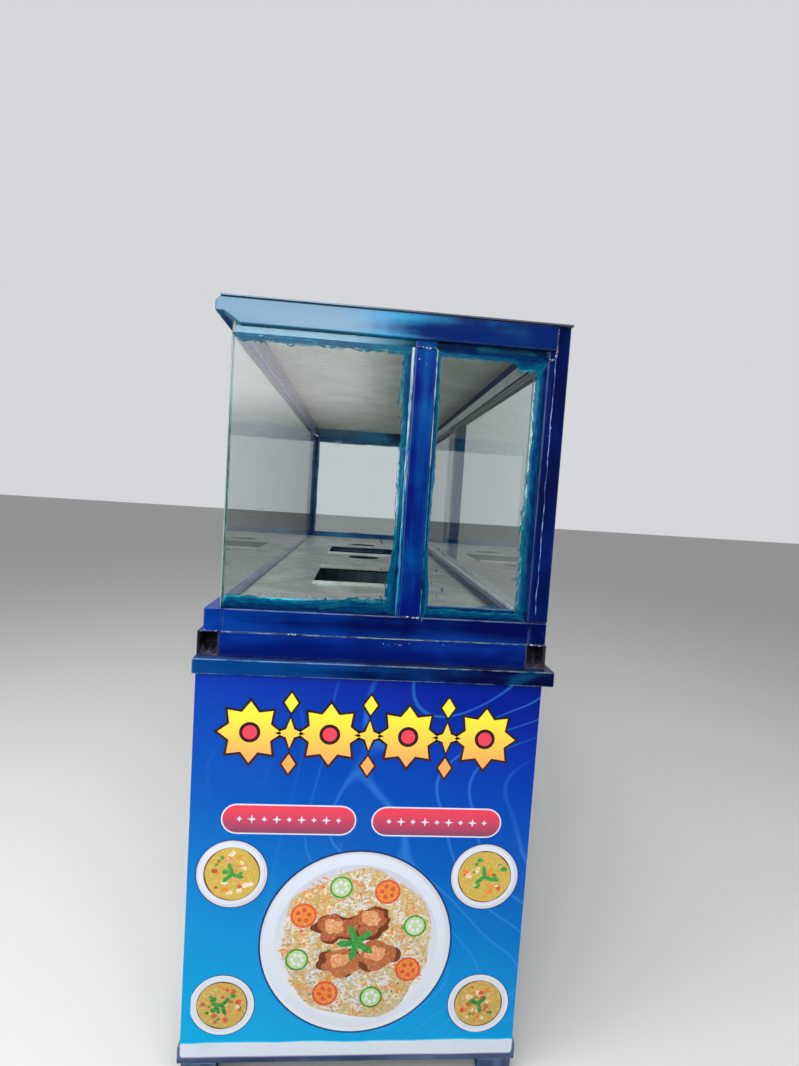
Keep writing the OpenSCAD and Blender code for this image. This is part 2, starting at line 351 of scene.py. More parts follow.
def guide_tree(name, takes):
    """A geometry tree that spaces points along its guide lines, with its sockets."""
    takes = {"Guides": "Geometry", "Pitch": "Float", "Finish": "Material", **takes}
    tree, take, give = node_group("GeometryNodeTree", name, takes, {"Forms": "Geometry"})
    lines = node(tree, "GeometryNodeMeshToCurve", {"Mesh": take["Guides"]}).outputs[0]
    spaced = node(tree, "GeometryNodeResampleCurve",
                  {"Curve": lines, "Length": take["Pitch"]}, mode="LENGTH").outputs[0]
    points = node(tree, "GeometryNodeCurveToPoints", {"Curve": spaced}, mode="EVALUATED")
    return tree, take, give, points.outputs[0]


def planted(tree, take, give, inputs):
    """The tree ended: forms stood on its points, made real, smooth and given their finish."""
    stood = node(tree, "GeometryNodeInstanceOnPoints", inputs).outputs[0]
    real = node(tree, "GeometryNodeRealizeInstances", {"Geometry": stood}).outputs[0]
    smooth = node(tree, "GeometryNodeSetShadeSmooth", {"Geometry": real}).outputs[0]
    finished = node(tree, "GeometryNodeSetMaterial",
                    {"Geometry": smooth, "Material": take["Finish"]})
    fill(tree, give, {"Forms": finished.outputs[0]})
    return tree


def stud_tree():
    """Round heads at an even pitch along guide lines, flattened against a wall."""
    tree, take, give, points = guide_tree("stud_heads",
                                          {"Head Radius": "Float", "Flattening": "Vector"})
    head = node(tree, "GeometryNodeMeshIcoSphere",
                {"Radius": take["Head Radius"], "Subdivisions": 3}).outputs[0]
    return planted(tree, take, give,
                   {"Points": points, "Instance": head, "Scale": take["Flattening"]})


def guide_lines(lines):
    """Guide lines as points and edges."""
    points, edges = [], []
    for start, end in lines:
        edges.append((len(points), len(points) + 1))
        points.extend((start, end))
    return points, edges


def grown(name, guides, tree, slot="frame_paint", **values):
    """A piece that a geometry tree grows from guide lines, made a plain mesh."""
    mesh = bpy.data.meshes.new(name)
    mesh.from_pydata(*guides, [])
    made = in_scene(name, mesh)
    modifier = made.modifiers.new("growth", "NODES")
    modifier.node_group = tree
    for item in tree.interface.items_tree:
        key = item.name.replace(" ", "_")
        if item.item_type == "SOCKET" and item.in_out == "INPUT" and key in values:
            modifier[item.identifier] = values[key]
    held = made.evaluated_get(bpy.context.evaluated_depsgraph_get())
    plain = bpy.data.meshes.new_from_object(held)
    made.modifiers.remove(modifier)
    made.data = plain
    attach(made, "root")
    return made


wall_enamel = enamel("wall_enamel", ALONG_Z, WALL_DEEP, WALL_CLEAR, TEAL_THIN, 0.10,
                     relief=0.25)
# The pale grey inner faces are partly primer and partly a painted light on the dim inside of the
# base.
wall_primer = enamel("wall_primer", ALONG_Z, PRIMER_AND_LIGHT_DEEP, PRIMER_AND_LIGHT_CLEAR, PRIMER_AND_LIGHT_RUST, 0.3,
                     relief=0.15)
for wall in ("end_wall_near", "end_wall_far", "side_wall_customer", "side_wall_server"):
    sheet_metal = painted(wall, wall_enamel, SHEET_METAL_EDGE)
    sheet_metal.data.materials.append(wall_primer)
    for face in sheet_metal.data.polygons:
        # Faces that look back towards the middle of the base are its inner faces.
        outward = face.normal.x * face.center.x + face.normal.y * face.center.y
        face.material_index = int(outward < INNER_FACE)
STUD_HEADS = stud_tree()
wall_low, wall_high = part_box("side_wall_server")
rivet_low, rivet_high = wall_low[2] + RIVET_INSET, wall_high[2] - RIVET_INSET
rivet_near, rivet_far = wall_low[1] + RIVET_INSET, wall_high[1] - RIVET_INSET
rivet_lines = [((wall_high[0], rivet_near, level), (wall_high[0], rivet_far, level))
               for level in (rivet_low, rivet_high)]
rivet_lines += [((wall_high[0], across, rivet_low + RIVET_PITCH),
                 (wall_high[0], across, rivet_high - RIVET_PITCH))
                for across in (rivet_near, 0.0, rivet_far)]
grown("wall_rivets", guide_lines(rivet_lines), STUD_HEADS, "wall_paint", Pitch=RIVET_PITCH,
      Head_Radius=RIVET_RADIUS, Flattening=(0.34, 1.0, 1.0), Finish=wall_enamel)


# Printed sheets: glossy flex stuck to the walls, royal blue at the top and sky blue at the foot,
# with a white strip along the lower edge, ornaments, two red tablets and dishes.
SHEET_THICK = 0.0012
SHEET_CORNER = 0.012
WHITE_STRIP = 0.036
PRINT_LIFT = 0.00012
STAR_PITCH = 0.166
STAR_LEVEL = 0.778
TABLET_LEVEL = 0.590
TABLET_AWAY = 0.158
PLATTER_LEVEL = 0.315
PLATTER_RADIUS = 0.206
BOWLS = ((0.272, 0.468, 0.074, 7), (0.280, 0.172, 0.068, 27))
SHEET_HIGH = 0.899
UP = Vector((0, 0, 1))


def sheet_place(name, wall, centre, out, half, low, middles=(0.0,)):
    """Where one sheet lies: its wall, middle, directions and size, and its prints' middles."""
    out = Vector(out)
    return {"name": name, "wall": wall, "centre": Vector(centre), "right": UP.cross(out),
            "out": out, "half": half, "low": low, "high": SHEET_HIGH, "middles": middles}


SHEETS = (
    sheet_place("near", "end_wall_near", (-0.009, -1.063, 0), (0, -1, 0), 0.3645, 0.050),
    sheet_place("far", "end_wall_far", (-0.009, 1.063, 0), (0, 1, 0), 0.3645, 0.050),
    sheet_place("customer", "side_wall_customer", (-0.374, 0, 0), (-1, 0, 0), 1.061, 0.076,
                (-0.70, 0.0, 0.70)))


def colour_ramp(tree, value, stops):
    """A value turned into a colour by stops, each a position and a colour."""
    made = node(tree, "ShaderNodeValToRGB", {0: value})
    elements = made.color_ramp.elements
    elements[0].color, elements[1].color = (*stops[0][1], 1), (*stops[-1][1], 1)
    elements[1].position = stops[-1][0]
    for position, colour in stops[1:-1]:
        elements.new(position).color = (*colour, 1)
    return made.outputs["Color"]


def flex_blue():
    """The printed ground: a blue gradient slanted by a painted shade, faint scrolls and the
    white strip.
    """
    material, tree, looks, place = new_material("flex_blue")
    parts = node(tree, "ShaderNodeSeparateXYZ", {0: place}).outputs
    # The slant across the sheet is a painted shade: the blue deepens towards the server side.
    across = maths(tree, "MULTIPLY_ADD", parts[0], 0.26, times(tree, parts[1], 0.03))
    slope = maths(tree, "ADD", parts[2], across)
    ground = colour_ramp(tree, slope, (
        (0.0, (0.001, 0.340, 0.660)), (0.22, (0.001, 0.250, 0.600)),
        (0.50, (0.0006, 0.095, 0.440)), (0.76, (0.0006, 0.034, 0.365)),
        (0.87, (0.0006, 0.014, 0.265)), (1.0, (0.0005, 0.005, 0.160))))
    scroll = node(tree, "ShaderNodeTexNoise", {"Vector": place, "Scale": 3.2, "Detail": 0.0})
    ring = maths(tree, "PINGPONG", times(tree, scroll.outputs["Fac"], 9.0), 0.5)
    line = fade(tree, ring, 0.42, 0.5)
    spread = fade(tree, cloud(tree, place, 2.1, 1.0), 0.42, 0.62)
    glow = times(tree, times(tree, line, spread), 0.32)
    blue = blend(tree, glow, ground, (0.05, 0.30, 0.80))
    hem = maths(tree, "MULTIPLY_ADD", cloud(tree, place, 9.0, 2.0), 0.010, WHITE_STRIP + 0.044)
    white = fade(tree, maths(tree, "SUBTRACT", parts[2], hem), 0.0008, -0.0008)
    rim = fade(tree, maths(tree, "ABSOLUTE", maths(tree, "SUBTRACT", parts[2], hem)), 0.004, 0.0)
    blue = blend(tree, rim, blue, (0.05, 0.62, 0.86))
    soil = fade(tree, cloud(tree, place, 11.0, 5.0, 0.65), 0.50, 0.72, 0.0, 0.25)
    pale = blend(tree, soil, (0.60, 0.66, 0.74), (0.42, 0.42, 0.44))
    colour = blend(tree, white, blue, pale)
    violet = fade(tree, parts[2], 0.056, 0.051)
    fill(tree, looks, {"Base Color": blend(tree, violet, colour, (0.10, 0.07, 0.22)),
                       "Roughness": fade(tree, cloud(tree, place, 4.0, 3.0), 0.3, 0.7, 0.14, 0.28),
                       "Specular IOR Level": 0.3})
    raised(tree, looks, cloud(tree, place, 7.0, 2.0), 0.5, 0.003)
    return material


def ink(name, high_colour, low_colour, high, low, spots=0.0, spot_colour=(0, 0, 0)):
    """One printed colour, fading from one height to another, with soft mottling."""
    material, tree, looks, place = new_material(name)
    level = one_axis(tree, place, 2)
    colour = blend(tree, fade(tree, level, low, high), low_colour, high_colour)
    mottle = fade(tree, cloud(tree, place, 160.0, 4.0, 0.7), 0.45, 0.68)
    mottled = blend(tree, times(tree, mottle, spots), colour, spot_colour)
    fill(tree, looks, {"Base Color": mottled, "Specular IOR Level": 0.25, "Roughness": 0.28})
    raised(tree, looks, cloud(tree, place, 7.0, 2.0), 0.5, 0.003)
    return material


INK_TABLE = {
    "outline": ((0.020, 0.012, 0.020), (0.060, 0.015, 0.018), 0.86, 0.66),
    "gold": ((0.93, 0.76, 0.045), (0.92, 0.36, 0.11), 0.84, 0.70),
    "tablet": ((0.78, 0.055, 0.10), (0.22, 0.060, 0.13), 0.62, 0.55),
    "shade": ((0.010, 0.030, 0.14), (0.006, 0.060, 0.22), 0.42, 0.16),
    "ember": ((0.72, 0.23, 0.035), (0.66, 0.19, 0.030), 0.4, 0.2, 0.6, (0.84, 0.42, 0.12)),
    "sear": ((0.14, 0.030, 0.012), (0.16, 0.042, 0.018), 0.4, 0.2, 0.5, (0.30, 0.10, 0.03)),
    "glaze": ((0.66, 0.27, 0.11), (0.62, 0.26, 0.10), 0.4, 0.2, 0.8, (0.86, 0.58, 0.36)),
    "white": ((0.66, 0.70, 0.80), (0.60, 0.64, 0.72), 0.6, 0.1),
    "china": ((0.56, 0.58, 0.66), (0.66, 0.68, 0.74), 0.42, 0.16),
    "rice": ((0.62, 0.50, 0.30), (0.55, 0.45, 0.28), 0.4, 0.2, 0.8, (0.30, 0.16, 0.05)),
    "grain": ((0.80, 0.72, 0.52), (0.74, 0.62, 0.40), 0.4, 0.2, 0.8, (0.62, 0.30, 0.06)),
    "roast": ((0.36, 0.085, 0.030), (0.42, 0.13, 0.045), 0.4, 0.2, 0.7, (0.58, 0.26, 0.12)),
    "tomato": ((0.66, 0.075, 0.040), (0.60, 0.060, 0.035), 0.4, 0.2, 0.5, (0.80, 0.22, 0.10)),
    "leaf": ((0.035, 0.30, 0.050), (0.020, 0.20, 0.040), 0.4, 0.2, 0.5, (0.20, 0.50, 0.12)),
    "curry": ((0.56, 0.38, 0.070), (0.48, 0.32, 0.080), 0.4, 0.2, 0.7, (0.70, 0.54, 0.16)),
    "cucumber": ((0.46, 0.60, 0.26), (0.40, 0.55, 0.22), 0.4, 0.2, 0.5, (0.62, 0.72, 0.42)),
}
INKS = {name: ink("ink_" + name, *row) for name, row in INK_TABLE.items()}


def on_sheet(sheet, across, up, depth):
    """A point of a sheet, across from its middle, up from the floor and out from its face."""
    return sheet["centre"] + sheet["right"] * across + UP * up + sheet["out"] * depth


def sheet_wave(sheet, across, up):
    """How far the sheet bulges: flat where it is stuck down, loose at its foot and sides."""
    loose_foot = max(0.0, 1 - (up - sheet["low"]) / 0.06)
    loose_side = max(0.0, 1 - (sheet["half"] - abs(across)) / 0.025)
    wave = noise.noise(Vector((across * 9, up * 5, sheet["half"] * 7)))
    return 0.0016 * wave * max(loose_foot, loose_side * 0.6)


def closed_slab(form, front, back):
    """Faces over two grids of points and round their borders, turned outward."""
    rows, columns = len(front) - 1, len(front[0]) - 1
    quads = []
    for j in range(rows):
        for i in range(columns):
            quads.append((front[j][i], front[j][i + 1], front[j + 1][i + 1], front[j + 1][i]))
            quads.append((back[j][i], back[j + 1][i], back[j + 1][i + 1], back[j][i + 1]))
    border = ([(j, 0) for j in range(rows, 0, -1)] + [(0, i) for i in range(columns)]
              + [(j, columns) for j in range(rows)]
              + [(rows, i) for i in range(columns, 0, -1)])
    for (j, i), (m, n) in zip(border, border[1:] + border[:1]):
        quads.append((front[j][i], back[j][i], back[m][n], front[m][n]))
    faces = [form.faces.new(quad) for quad in quads]
    bmesh.ops.recalc_face_normals(form, faces=faces)
    return faces


def ring_skin(form, rings):
    """A closed skin over rings of points, which it gives as faces."""
    faces = [form.faces.new(rings[0][::-1]), form.faces.new(rings[-1])]
    for ring, ahead in zip(rings, rings[1:]):
        for k, here in enumerate(ring):
            j = (k + 1) % len(ring)
            faces.append(form.faces.new((here, ring[j], ahead[j], ahead[k])))
    return faces


def flex_sheet(sheet):
    """The sheet itself, a closed skin with rounded lower corners."""
    form = bmesh.new()
    columns = round(sheet["half"] * 2 / 0.012)
    foot_rows = [0.0, 0.0008, 0.0026, 0.0055, 0.009, SHEET_CORNER]
    rows = foot_rows + [SHEET_CORNER + (sheet["high"] - sheet["low"] - SHEET_CORNER) * i / 56
                        for i in range(1, 57)]
    skins = []
    for side in (0, 1):
        skin = []
        for up in rows:
            short = max(0.0, SHEET_CORNER - up)
            reach = sheet["half"] - SHEET_CORNER + math.sqrt(SHEET_CORNER ** 2 - short ** 2)
            line = []
            for i in range(columns + 1):
                across = reach * (2 * i / columns - 1)
                level = sheet["low"] + up
                depth = sheet_wave(sheet, across, level) - side * SHEET_THICK
                line.append(form.verts.new(on_sheet(sheet, across, level, depth)))
            skin.append(line)
        skins.append(skin)
    closed_slab(form, *skins)
    return form


def polar(x, z, reach, turn):
    """A point at a reach and a turn from a centre."""
    return x + reach * math.cos(turn), z + reach * math.sin(turn)


class Print:
    """Inks laid on one sheet: each shape is a thin closed film, raised by its layer."""

    def __init__(self, sheet):
        self.sheet = sheet
        self.form = bmesh.new()

    def shape(self, outline, colour, layer):
        """A filled outline, given as points across and up."""
        rings = []
        for depth in (-SHEET_THICK / 2, layer * PRINT_LIFT):
            rings.append([self.form.verts.new(on_sheet(self.sheet, x, z, depth))
                          for x, z in outline])
        for face in ring_skin(self.form, rings):
            face.material_index = list(INKS).index(colour)

    def ring(self, x, z, radius, colour, layer, points=36, squash=1.0, wobble=0.0, seed=0):
        """A round or uneven spot."""
        outline = []
        for i in range(points):
            turn = math.tau * i / points
            uneven = 1 + wobble * noise.noise(Vector((math.cos(turn) * 1.7, math.sin(turn) * 1.7,
                                                      seed * 3.1)))
            outline.append((x + radius * uneven * math.cos(turn),
                            z + radius * uneven * squash * math.sin(turn)))
        self.shape(outline, colour, layer)

    def star(self, x, z, outer, inner, spikes, colour, layer):
        """A star with straight sides."""
        outline = []
        for i in range(spikes * 2):
            angle = math.pi * i / spikes + math.pi / 2
            outline.append(polar(x, z, inner if i % 2 else outer, angle))
        self.shape(outline, colour, layer)

    def tablet(self, x, z, half, rise, colour, layer):
        """A band with round ends."""
        outline = []
        for centre, start in ((x + half - rise, -0.5), (x - half + rise, 0.5)):
            for i in range(13):
                outline.append(polar(centre, z, rise, math.pi * (start + i / 12)))
        self.shape(outline, colour, layer)

    def ornament_row(self, middle, repeats):
        """Eight-pointed stars and lozenges in gold with a dark outline."""
        for i in range(repeats):
            x = middle + (i - (repeats - 1) / 2) * STAR_PITCH
            for colour, grow, layer in (("outline", 0.006, 1), ("gold", 0.0, 2)):
                self.star(x, STAR_LEVEL, 0.066 + grow * 1.5, 0.046 + grow, 8, colour, layer)
                if i < repeats - 1:
                    between = x + STAR_PITCH / 2
                    self.star(between, STAR_LEVEL, 0.032 + grow * 1.4, 0.012 + grow, 4, colour,
                              layer)
                    for side in (-1, 1):
                        self.star(between, STAR_LEVEL + side * 0.066, 0.021 + grow * 1.3,
                                  0.014 + grow, 2, colour, layer)
            self.ring(x, STAR_LEVEL, 0.022, "outline", 3, 24)
            self.ring(x, STAR_LEVEL, 0.015, "tablet", 4, 24)

    def red_tablets(self, middle):
        """Two red bands with pale edges and a row of white lozenges in each."""
        for side in (-1, 1):
            x = middle + side * TABLET_AWAY
            self.tablet(x, TABLET_LEVEL, 0.142, 0.033, "white", 1)
            self.tablet(x, TABLET_LEVEL, 0.139, 0.030, "tablet", 2)
            for i in range(9):
                self.star(x + (i - 4) * 0.026, TABLET_LEVEL, 0.010 if i % 2 else 0.006, 0.003, 4,
                          "white", 3)

    def grain(self, x, z, lie, long, thick, colour, layer):
        """One grain of rice."""
        outline = []
        for a, b in ((1, 0), (0.55, 1), (-0.55, 1), (-1, 0), (-0.55, -1), (0.55, -1)):
            outline.append((x + a * long * math.cos(lie) - b * thick * math.sin(lie),
                            z + a * long * math.sin(lie) + b * thick * math.cos(lie)))
        self.shape(outline, colour, layer)

    def slice_of(self, x, z, radius, rind, flesh, cells, cell_colour, layer):
        """A round slice with its cells."""
        self.ring(x, z, radius, rind, layer, 28)
        self.ring(x, z, radius * 0.84, flesh, layer + 0.3, 24)
        for k in range(cells):
            turn = math.tau * k / cells + x * 9
            self.ring(*polar(x, z, radius * 0.45, turn), radius * 0.19, cell_colour, layer + 0.6,
                      10)

    def heap(self, x, z, radius, seed):
        """One platter seen from above: china, rice, slices, leaves and roast pieces."""
        pick = random.Random(seed)
        self.ring(x, z, radius * 1.02, "shade", 0.6, 72)
        self.ring(x, z, radius, "china", 1, 72)
        self.ring(x - radius * 0.012, z + radius * 0.012, radius * 0.965, "white", 1.6, 72)
        self.ring(x, z, radius * 0.86, "china", 2.2, 64)
        self.ring(x, z, radius * 0.80, "rice", 2.8, 56, wobble=0.16, seed=seed)
        for i in range(int(radius * 7600)):
            away = radius * 0.80 * math.sqrt(pick.random())
            spot = polar(x, z, away, pick.uniform(0, math.tau))
            stained = noise.noise(Vector((spot[0] * 26, spot[1] * 26, seed * 1.7)))
            plain = ("grain", "grain", "white", "white", "rice")
            spiced = ("curry", "ember", "ember", "grain", "curry")
            self.grain(*spot, pick.uniform(0, math.pi), pick.uniform(0.0055, 0.0090),
                       pick.uniform(0.0011, 0.0016),
                       pick.choice(spiced if stained > 0.05 else plain),
                       3.2 + 1.6 * i / (radius * 7600))
        for i in range(46):
            away, turn = radius * 0.74 * math.sqrt(pick.random()), pick.uniform(0, math.tau)
            self.ring(*polar(x, z, away, turn), pick.uniform(0.0022, 0.0050),
                      pick.choice(("tomato", "leaf", "ember")), 4.9 + i * 0.004, 9, 0.7, 0.7, i)
        for i in range(8):
            spot = polar(x, z, radius * 0.64, math.tau * i / 8 + 0.3 * seed)
            if i % 2:
                self.slice_of(*spot, radius * 0.135, "tomato", "ember", 5, "tomato", 5.2)
            else:
                self.slice_of(*spot, radius * 0.120, "leaf", "cucumber", 6, "white", 5.2)
        for i in range(4):
            spot = polar(x, z, radius * 0.27, math.tau * i / 4 + seed)
            for share, colour, layer in ((1.0, "sear", 6.2), (0.86, "roast", 6.4),
                                         (0.50, "glaze", 6.6)):
                shift = radius * 0.035 * (1 - share)
                self.ring(spot[0] - shift, spot[1] + shift * 2, radius * 0.22 * share, colour,
                          layer + 0.7 * i / 4, 30, 0.74, 0.55, seed + i + share)
        for i in range(5):
            turn = math.tau * i / 5 + 0.7
            self.grain(*polar(x, z, radius * 0.10, turn), turn, radius * 0.115, radius * 0.034,
                       "leaf", 7.6 + 0.1 * i)

    def side_bowl(self, x, z, radius, seed):
        """A small bowl of curry with leaves."""
        pick = random.Random(seed)
        self.ring(x, z, radius * 1.03, "shade", 0.6, 44)
        self.ring(x, z, radius, "china", 1, 44)
        self.ring(x - radius * 0.02, z + radius * 0.02, radius * 0.93, "white", 1.6, 44)
        self.ring(x, z, radius * 0.80, "sear", 2.2, 40)
        self.ring(x, z, radius * 0.77, "curry", 2.8, 40, wobble=0.05, seed=seed)
        for i in range(34):
            away, turn = radius * 0.62 * math.sqrt(pick.random()), pick.uniform(0, math.tau)
            colour = pick.choice(("leaf", "tomato", "roast", "grain", "ember", "glaze"))
            self.ring(*polar(x, z, away, turn), pick.uniform(0.003, 0.008), colour,
                      3.4 + i * 0.05, 9, 0.8, 0.6, i)
        for i in range(3):
            turn = math.tau * i / 3 + seed
            self.grain(*polar(x, z, radius * 0.16, turn), turn, radius * 0.20, radius * 0.06,
                       "leaf", 5.4 + 0.1 * i)


def printed_sheet(sheet):
    """A flex sheet and its print, which stand for the node."""
    made = piece("flex_sheet_" + sheet["name"], flex_sheet(sheet), FLEX_BLUE)
    made.data.shade_smooth()
    made.data.set_sharp_from_angle(angle=math.radians(40))
    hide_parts("banner_" + sheet["name"])
    sheet_print = Print(sheet)
    for seed, middle in enumerate(sheet["middles"]):
        sheet_print.ornament_row(middle, 4)
        sheet_print.red_tablets(middle)
        sheet_print.heap(middle, PLATTER_LEVEL, PLATTER_RADIUS, seed + 1)
        for side in (-1, 1):
            for away, level, radius, salt in BOWLS:
                sheet_print.side_bowl(middle + side * away, level, radius,
                                      seed * 2 + side + salt)
    inks = piece("print_" + sheet["name"], sheet_print.form, None)
    for colour in INKS.values():
        inks.data.materials.append(colour)


FLEX_BLUE = flex_blue()
for sheet in SHEETS:
    printed_sheet(sheet)


# Rim: angle iron round the top of the base, the widest part of the kiosk. Its hanging leg is
# streaked with teal where the enamel ran thin.
RIM_EDGE = 0.0018
RIM_DEEP = (0.0006, 0.0022, 0.036)
RIM_CLEAR = (0.0006, 0.040, 0.185)
RIM_THIN = (0.0015, 0.075, 0.190)
RIM_WEAR_AND_GLINT = (0.42, 0.60, 0.62)
# The rims' pale edges are partly wear and partly a painted highlight, and the end rims' lean is a
# painted shade, deeper towards the server side.
for rims, along, dusty, lean in (("rim_ends", ALONG_X, 0.05, -0.54),
                                 ("rim_sides", ALONG_Y, 0.20, 0.0)):
    painted(rims, enamel(rims + "_enamel", along, RIM_DEEP, RIM_CLEAR, RIM_THIN, 0.9,
                         wear_and_glint_colour=RIM_WEAR_AND_GLINT, wear_and_glint_share=0.9, dusty=dusty, lean=(lean, 0, 0)),
            RIM_EDGE)


# Open-ended tubes: the long tubes on the rim, cut off square at both ends and never capped.
# Inside, the steel is bare, rusty and full of dirt, its colours darkened nearly to black as a
# painted shade in the hollow tube.
ROYAL_DEEP = (0.0006, 0.0060, 0.105)
ROYAL_CLEAR = (0.0006, 0.026, 0.215)
TUBE_EDGE = 0.0012
CROSS_TUBE_EDGE = 0.003
TUBE_WALL = 0.002
DIRT_DEPTH = 0.06
DIRT_RISE = 0.016


def tube_rust():
    """Bare steel gone brown and purple, with grey scale, darkened nearly to black as a painted
    shade.
    """
    material, tree, looks, place = new_material("tube_rust")
    patches = cloud(tree, place, 45.0, 5.0, 0.65)
    grit = cloud(tree, place, 260.0, 4.0, 0.7)
    colour = blend(tree, fade(tree, patches, 0.38, 0.62), (0.005, 0.006, 0.016),
                   (0.032, 0.029, 0.058))
    colour = blend(tree, fade(tree, grit, 0.60, 0.70), colour, (0.26, 0.27, 0.36))
    fill(tree, looks, {"Base Color": colour, "Roughness": 0.85})
    raised(tree, looks, grit, 0.8, 0.001)
    return material


def dirt_heap(name, low, high, mouth_y, depth, rise, seed, material):
    """Dirt that lies in a tube's mouth, a closed lump with an uneven top."""
    form = bmesh.new()
    columns, rows = 12, 22
    top, floor = [], []
    for j in range(rows + 1):
        y = mouth_y + depth * j / rows
        hollow = math.sin(math.pi * min(1.0, j / rows + 0.12))
        top_row, floor_row = [], []
        for i in range(columns + 1):
            x = low[0] + (high[0] - low[0]) * i / columns
            lump = 0.5 + noise.noise(Vector((x * 90, y * 60, seed)))
            lift = rise * hollow * max(0.12, lump)
            top_row.append(form.verts.new((x, y, low[1] + 0.0002 + lift)))
            floor_row.append(form.verts.new((x, y, low[1])))
        top.append(top_row)
        floor.append(floor_row)
    closed_slab(form, top, floor)
    piece(name, form, material)


tube_enamel = enamel("tube_enamel", ALONG_Y, ROYAL_DEEP, ROYAL_CLEAR, TEAL_THIN, 0.4,
                     wear_and_glint_colour=(0.30, 0.36, 0.40), wear_and_glint_share=0.8, dusty=0.1)
rust_and_shade = tube_rust()
for side in ("customer", "server"):
    tube = painted("lower_tube_" + side, tube_enamel, TUBE_EDGE)
    tube.data.materials.append(rust_and_shade)
    low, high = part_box("lower_tube_" + side)
    skin = TUBE_WALL * 0.4
    for face in tube.data.polygons:
        inside_x = low[0] + skin < face.center.x < high[0] - skin
        inside_z = low[2] + skin < face.center.z < high[2] - skin
        face.material_index = int(inside_x and inside_z)
    for end, mouth, depth in (("near", low[1] + 0.002, DIRT_DEPTH),
                              ("far", high[1] - 0.002, -DIRT_DEPTH)):
        dirt_heap("dirt_" + side + "_" + end, (low[0] + TUBE_WALL, low[2] + TUBE_WALL),
                  (high[0] - TUBE_WALL, high[2] - TUBE_WALL), mouth, depth, DIRT_RISE,
                  len(side) + len(end), rust_and_shade)
# Its lean is a painted shade, deeper towards the server side.
cross_tube_enamel = enamel("cross_tube_enamel", ALONG_X, (0.0006, 0.0070, 0.110),
                           (0.0006, 0.032, 0.270), (0.0015, 0.080, 0.280), 0.5,
                           lean=(-0.22, 0.0, 0.0), shift=-0.03)
painted("lower_cross_tubes", cross_tube_enamel, CROSS_TUBE_EDGE)


# Sills: the upper tier of tubes, which the glass stands on. The end ones are the darkest blue of
# the kiosk, with a painted highlight along the upper edge and a painted shade that deepens them
# towards the server side. The customer and server sills share one paint, shifted lighter on the
# customer side and deeper on the server side as a painted light and shade.
SILL_EDGE = 0.0025
SILL_DEEP = (0.0006, 0.0030, 0.058)
SILL_CLEAR = (0.0006, 0.032, 0.240)
SILL_EDGE_GLINT = (0.34, 0.70, 0.90)
end_sill_enamel = enamel("end_sill_enamel", ALONG_X, SILL_DEEP, SILL_CLEAR, TEAL_THIN, 0.35,
                         wear_and_glint_colour=SILL_EDGE_GLINT, wear_and_glint_share=0.85, lean=(-0.34, 0.0, 0.0))
customer_sill_enamel = enamel("customer_sill_enamel", ALONG_Y, SILL_DEEP, SILL_CLEAR, TEAL_THIN,
                              0.35, wear_and_glint_colour=SILL_EDGE_GLINT, wear_and_glint_share=0.4, dusty=0.05, shift=0.09)
server_sill_enamel = enamel("server_sill_enamel", ALONG_Y, SILL_DEEP, SILL_CLEAR, TEAL_THIN,
                            0.25, wear_and_glint_colour=SILL_EDGE_GLINT, wear_and_glint_share=0.4, dusty=0.05, shift=-0.10)
for sill, paint in (("sill_near", end_sill_enamel), ("sill_far", end_sill_enamel),
                    ("sill_customer", customer_sill_enamel), ("sill_server", server_sill_enamel)):
    painted(sill, paint, SILL_EDGE)


# Seam filler: a thin pale line of putty in the joint between the two tiers of tubes at each end,
# and a fainter one down the joint in each server-side corner post, half covered by enamel. The
# light blue of the posts' lines is partly a painted highlight along the bead.
SEAM_LEVEL = 0.984
SEAM_RADIUS = 0.0011
SEAM_STEP = 0.012
TIER_FACE_Y = 1.0472
POST_SEAM = (0.333, 1.0488)
POST_SEAM_LOW = 1.050
POST_SEAM_HIGH = 1.655


def putty(name, pale, covered):
    """Pale putty, patchily covered by enamel."""
    material, tree, looks, place = new_material(name)
    cover = cloud(tree, place, 38.0, 4.0, 0.65)
    colour = blend(tree, fade(tree, cover, 0.42, 0.60), pale, covered)
    fill(tree, looks, {"Base Color": colour, "Roughness": 0.4})
    raised(tree, looks, cover, 0.4, 0.0004)
    return material


def seam_line(form, start, end, radius, wander, seed):
    """A round-sided thread of putty, a little uneven."""
    start, end = Vector(start), Vector(end)
    side = Vector((0, 1, 0))
    across = (end - start).normalized().cross(side)
    steps = max(4, round((end - start).length / SEAM_STEP))
    rings = []
    for i in range(steps + 1):
        swell = radius * (1 + 0.5 * noise.noise(Vector((i * 0.6, seed * 4.1, 0))))
        stray = wander * noise.noise(Vector((i * 0.35, seed * 2.9, 4.0)))
        middle = start + (end - start) * (i / steps) + across * stray
        rings.append([form.verts.new(middle + side * (swell * math.cos(math.tau * k / 6))
                                     + across * (swell * math.sin(math.tau * k / 6)))
                      for k in range(6)])
    ring_skin(form, rings)


level_seams, post_seams = bmesh.new(), bmesh.new()
for seed, side in enumerate((-1, 1)):
    seam_line(level_seams, (-0.330, side * TIER_FACE_Y, SEAM_LEVEL),
              (0.322, side * TIER_FACE_Y, SEAM_LEVEL), SEAM_RADIUS, 0.0006, seed)
    seam_x, seam_y = POST_SEAM[0], side * POST_SEAM[1]
    seam_line(post_seams, (seam_x, seam_y, POST_SEAM_LOW), (seam_x, seam_y, POST_SEAM_HIGH),
              SEAM_RADIUS * 0.8, 0.0022, seed + 5)
for name, seams, pale, covered in (
        ("seam_putty", level_seams, (0.34, 0.42, 0.48), (0.01, 0.05, 0.20)),
        ("post_seam_putty", post_seams, (0.16, 0.30, 0.56), (0.004, 0.018, 0.130))):
    bmesh.ops.recalc_face_normals(seams, faces=seams.faces)
    piece(name, seams, putty(name, pale, covered)).data.shade_smooth()


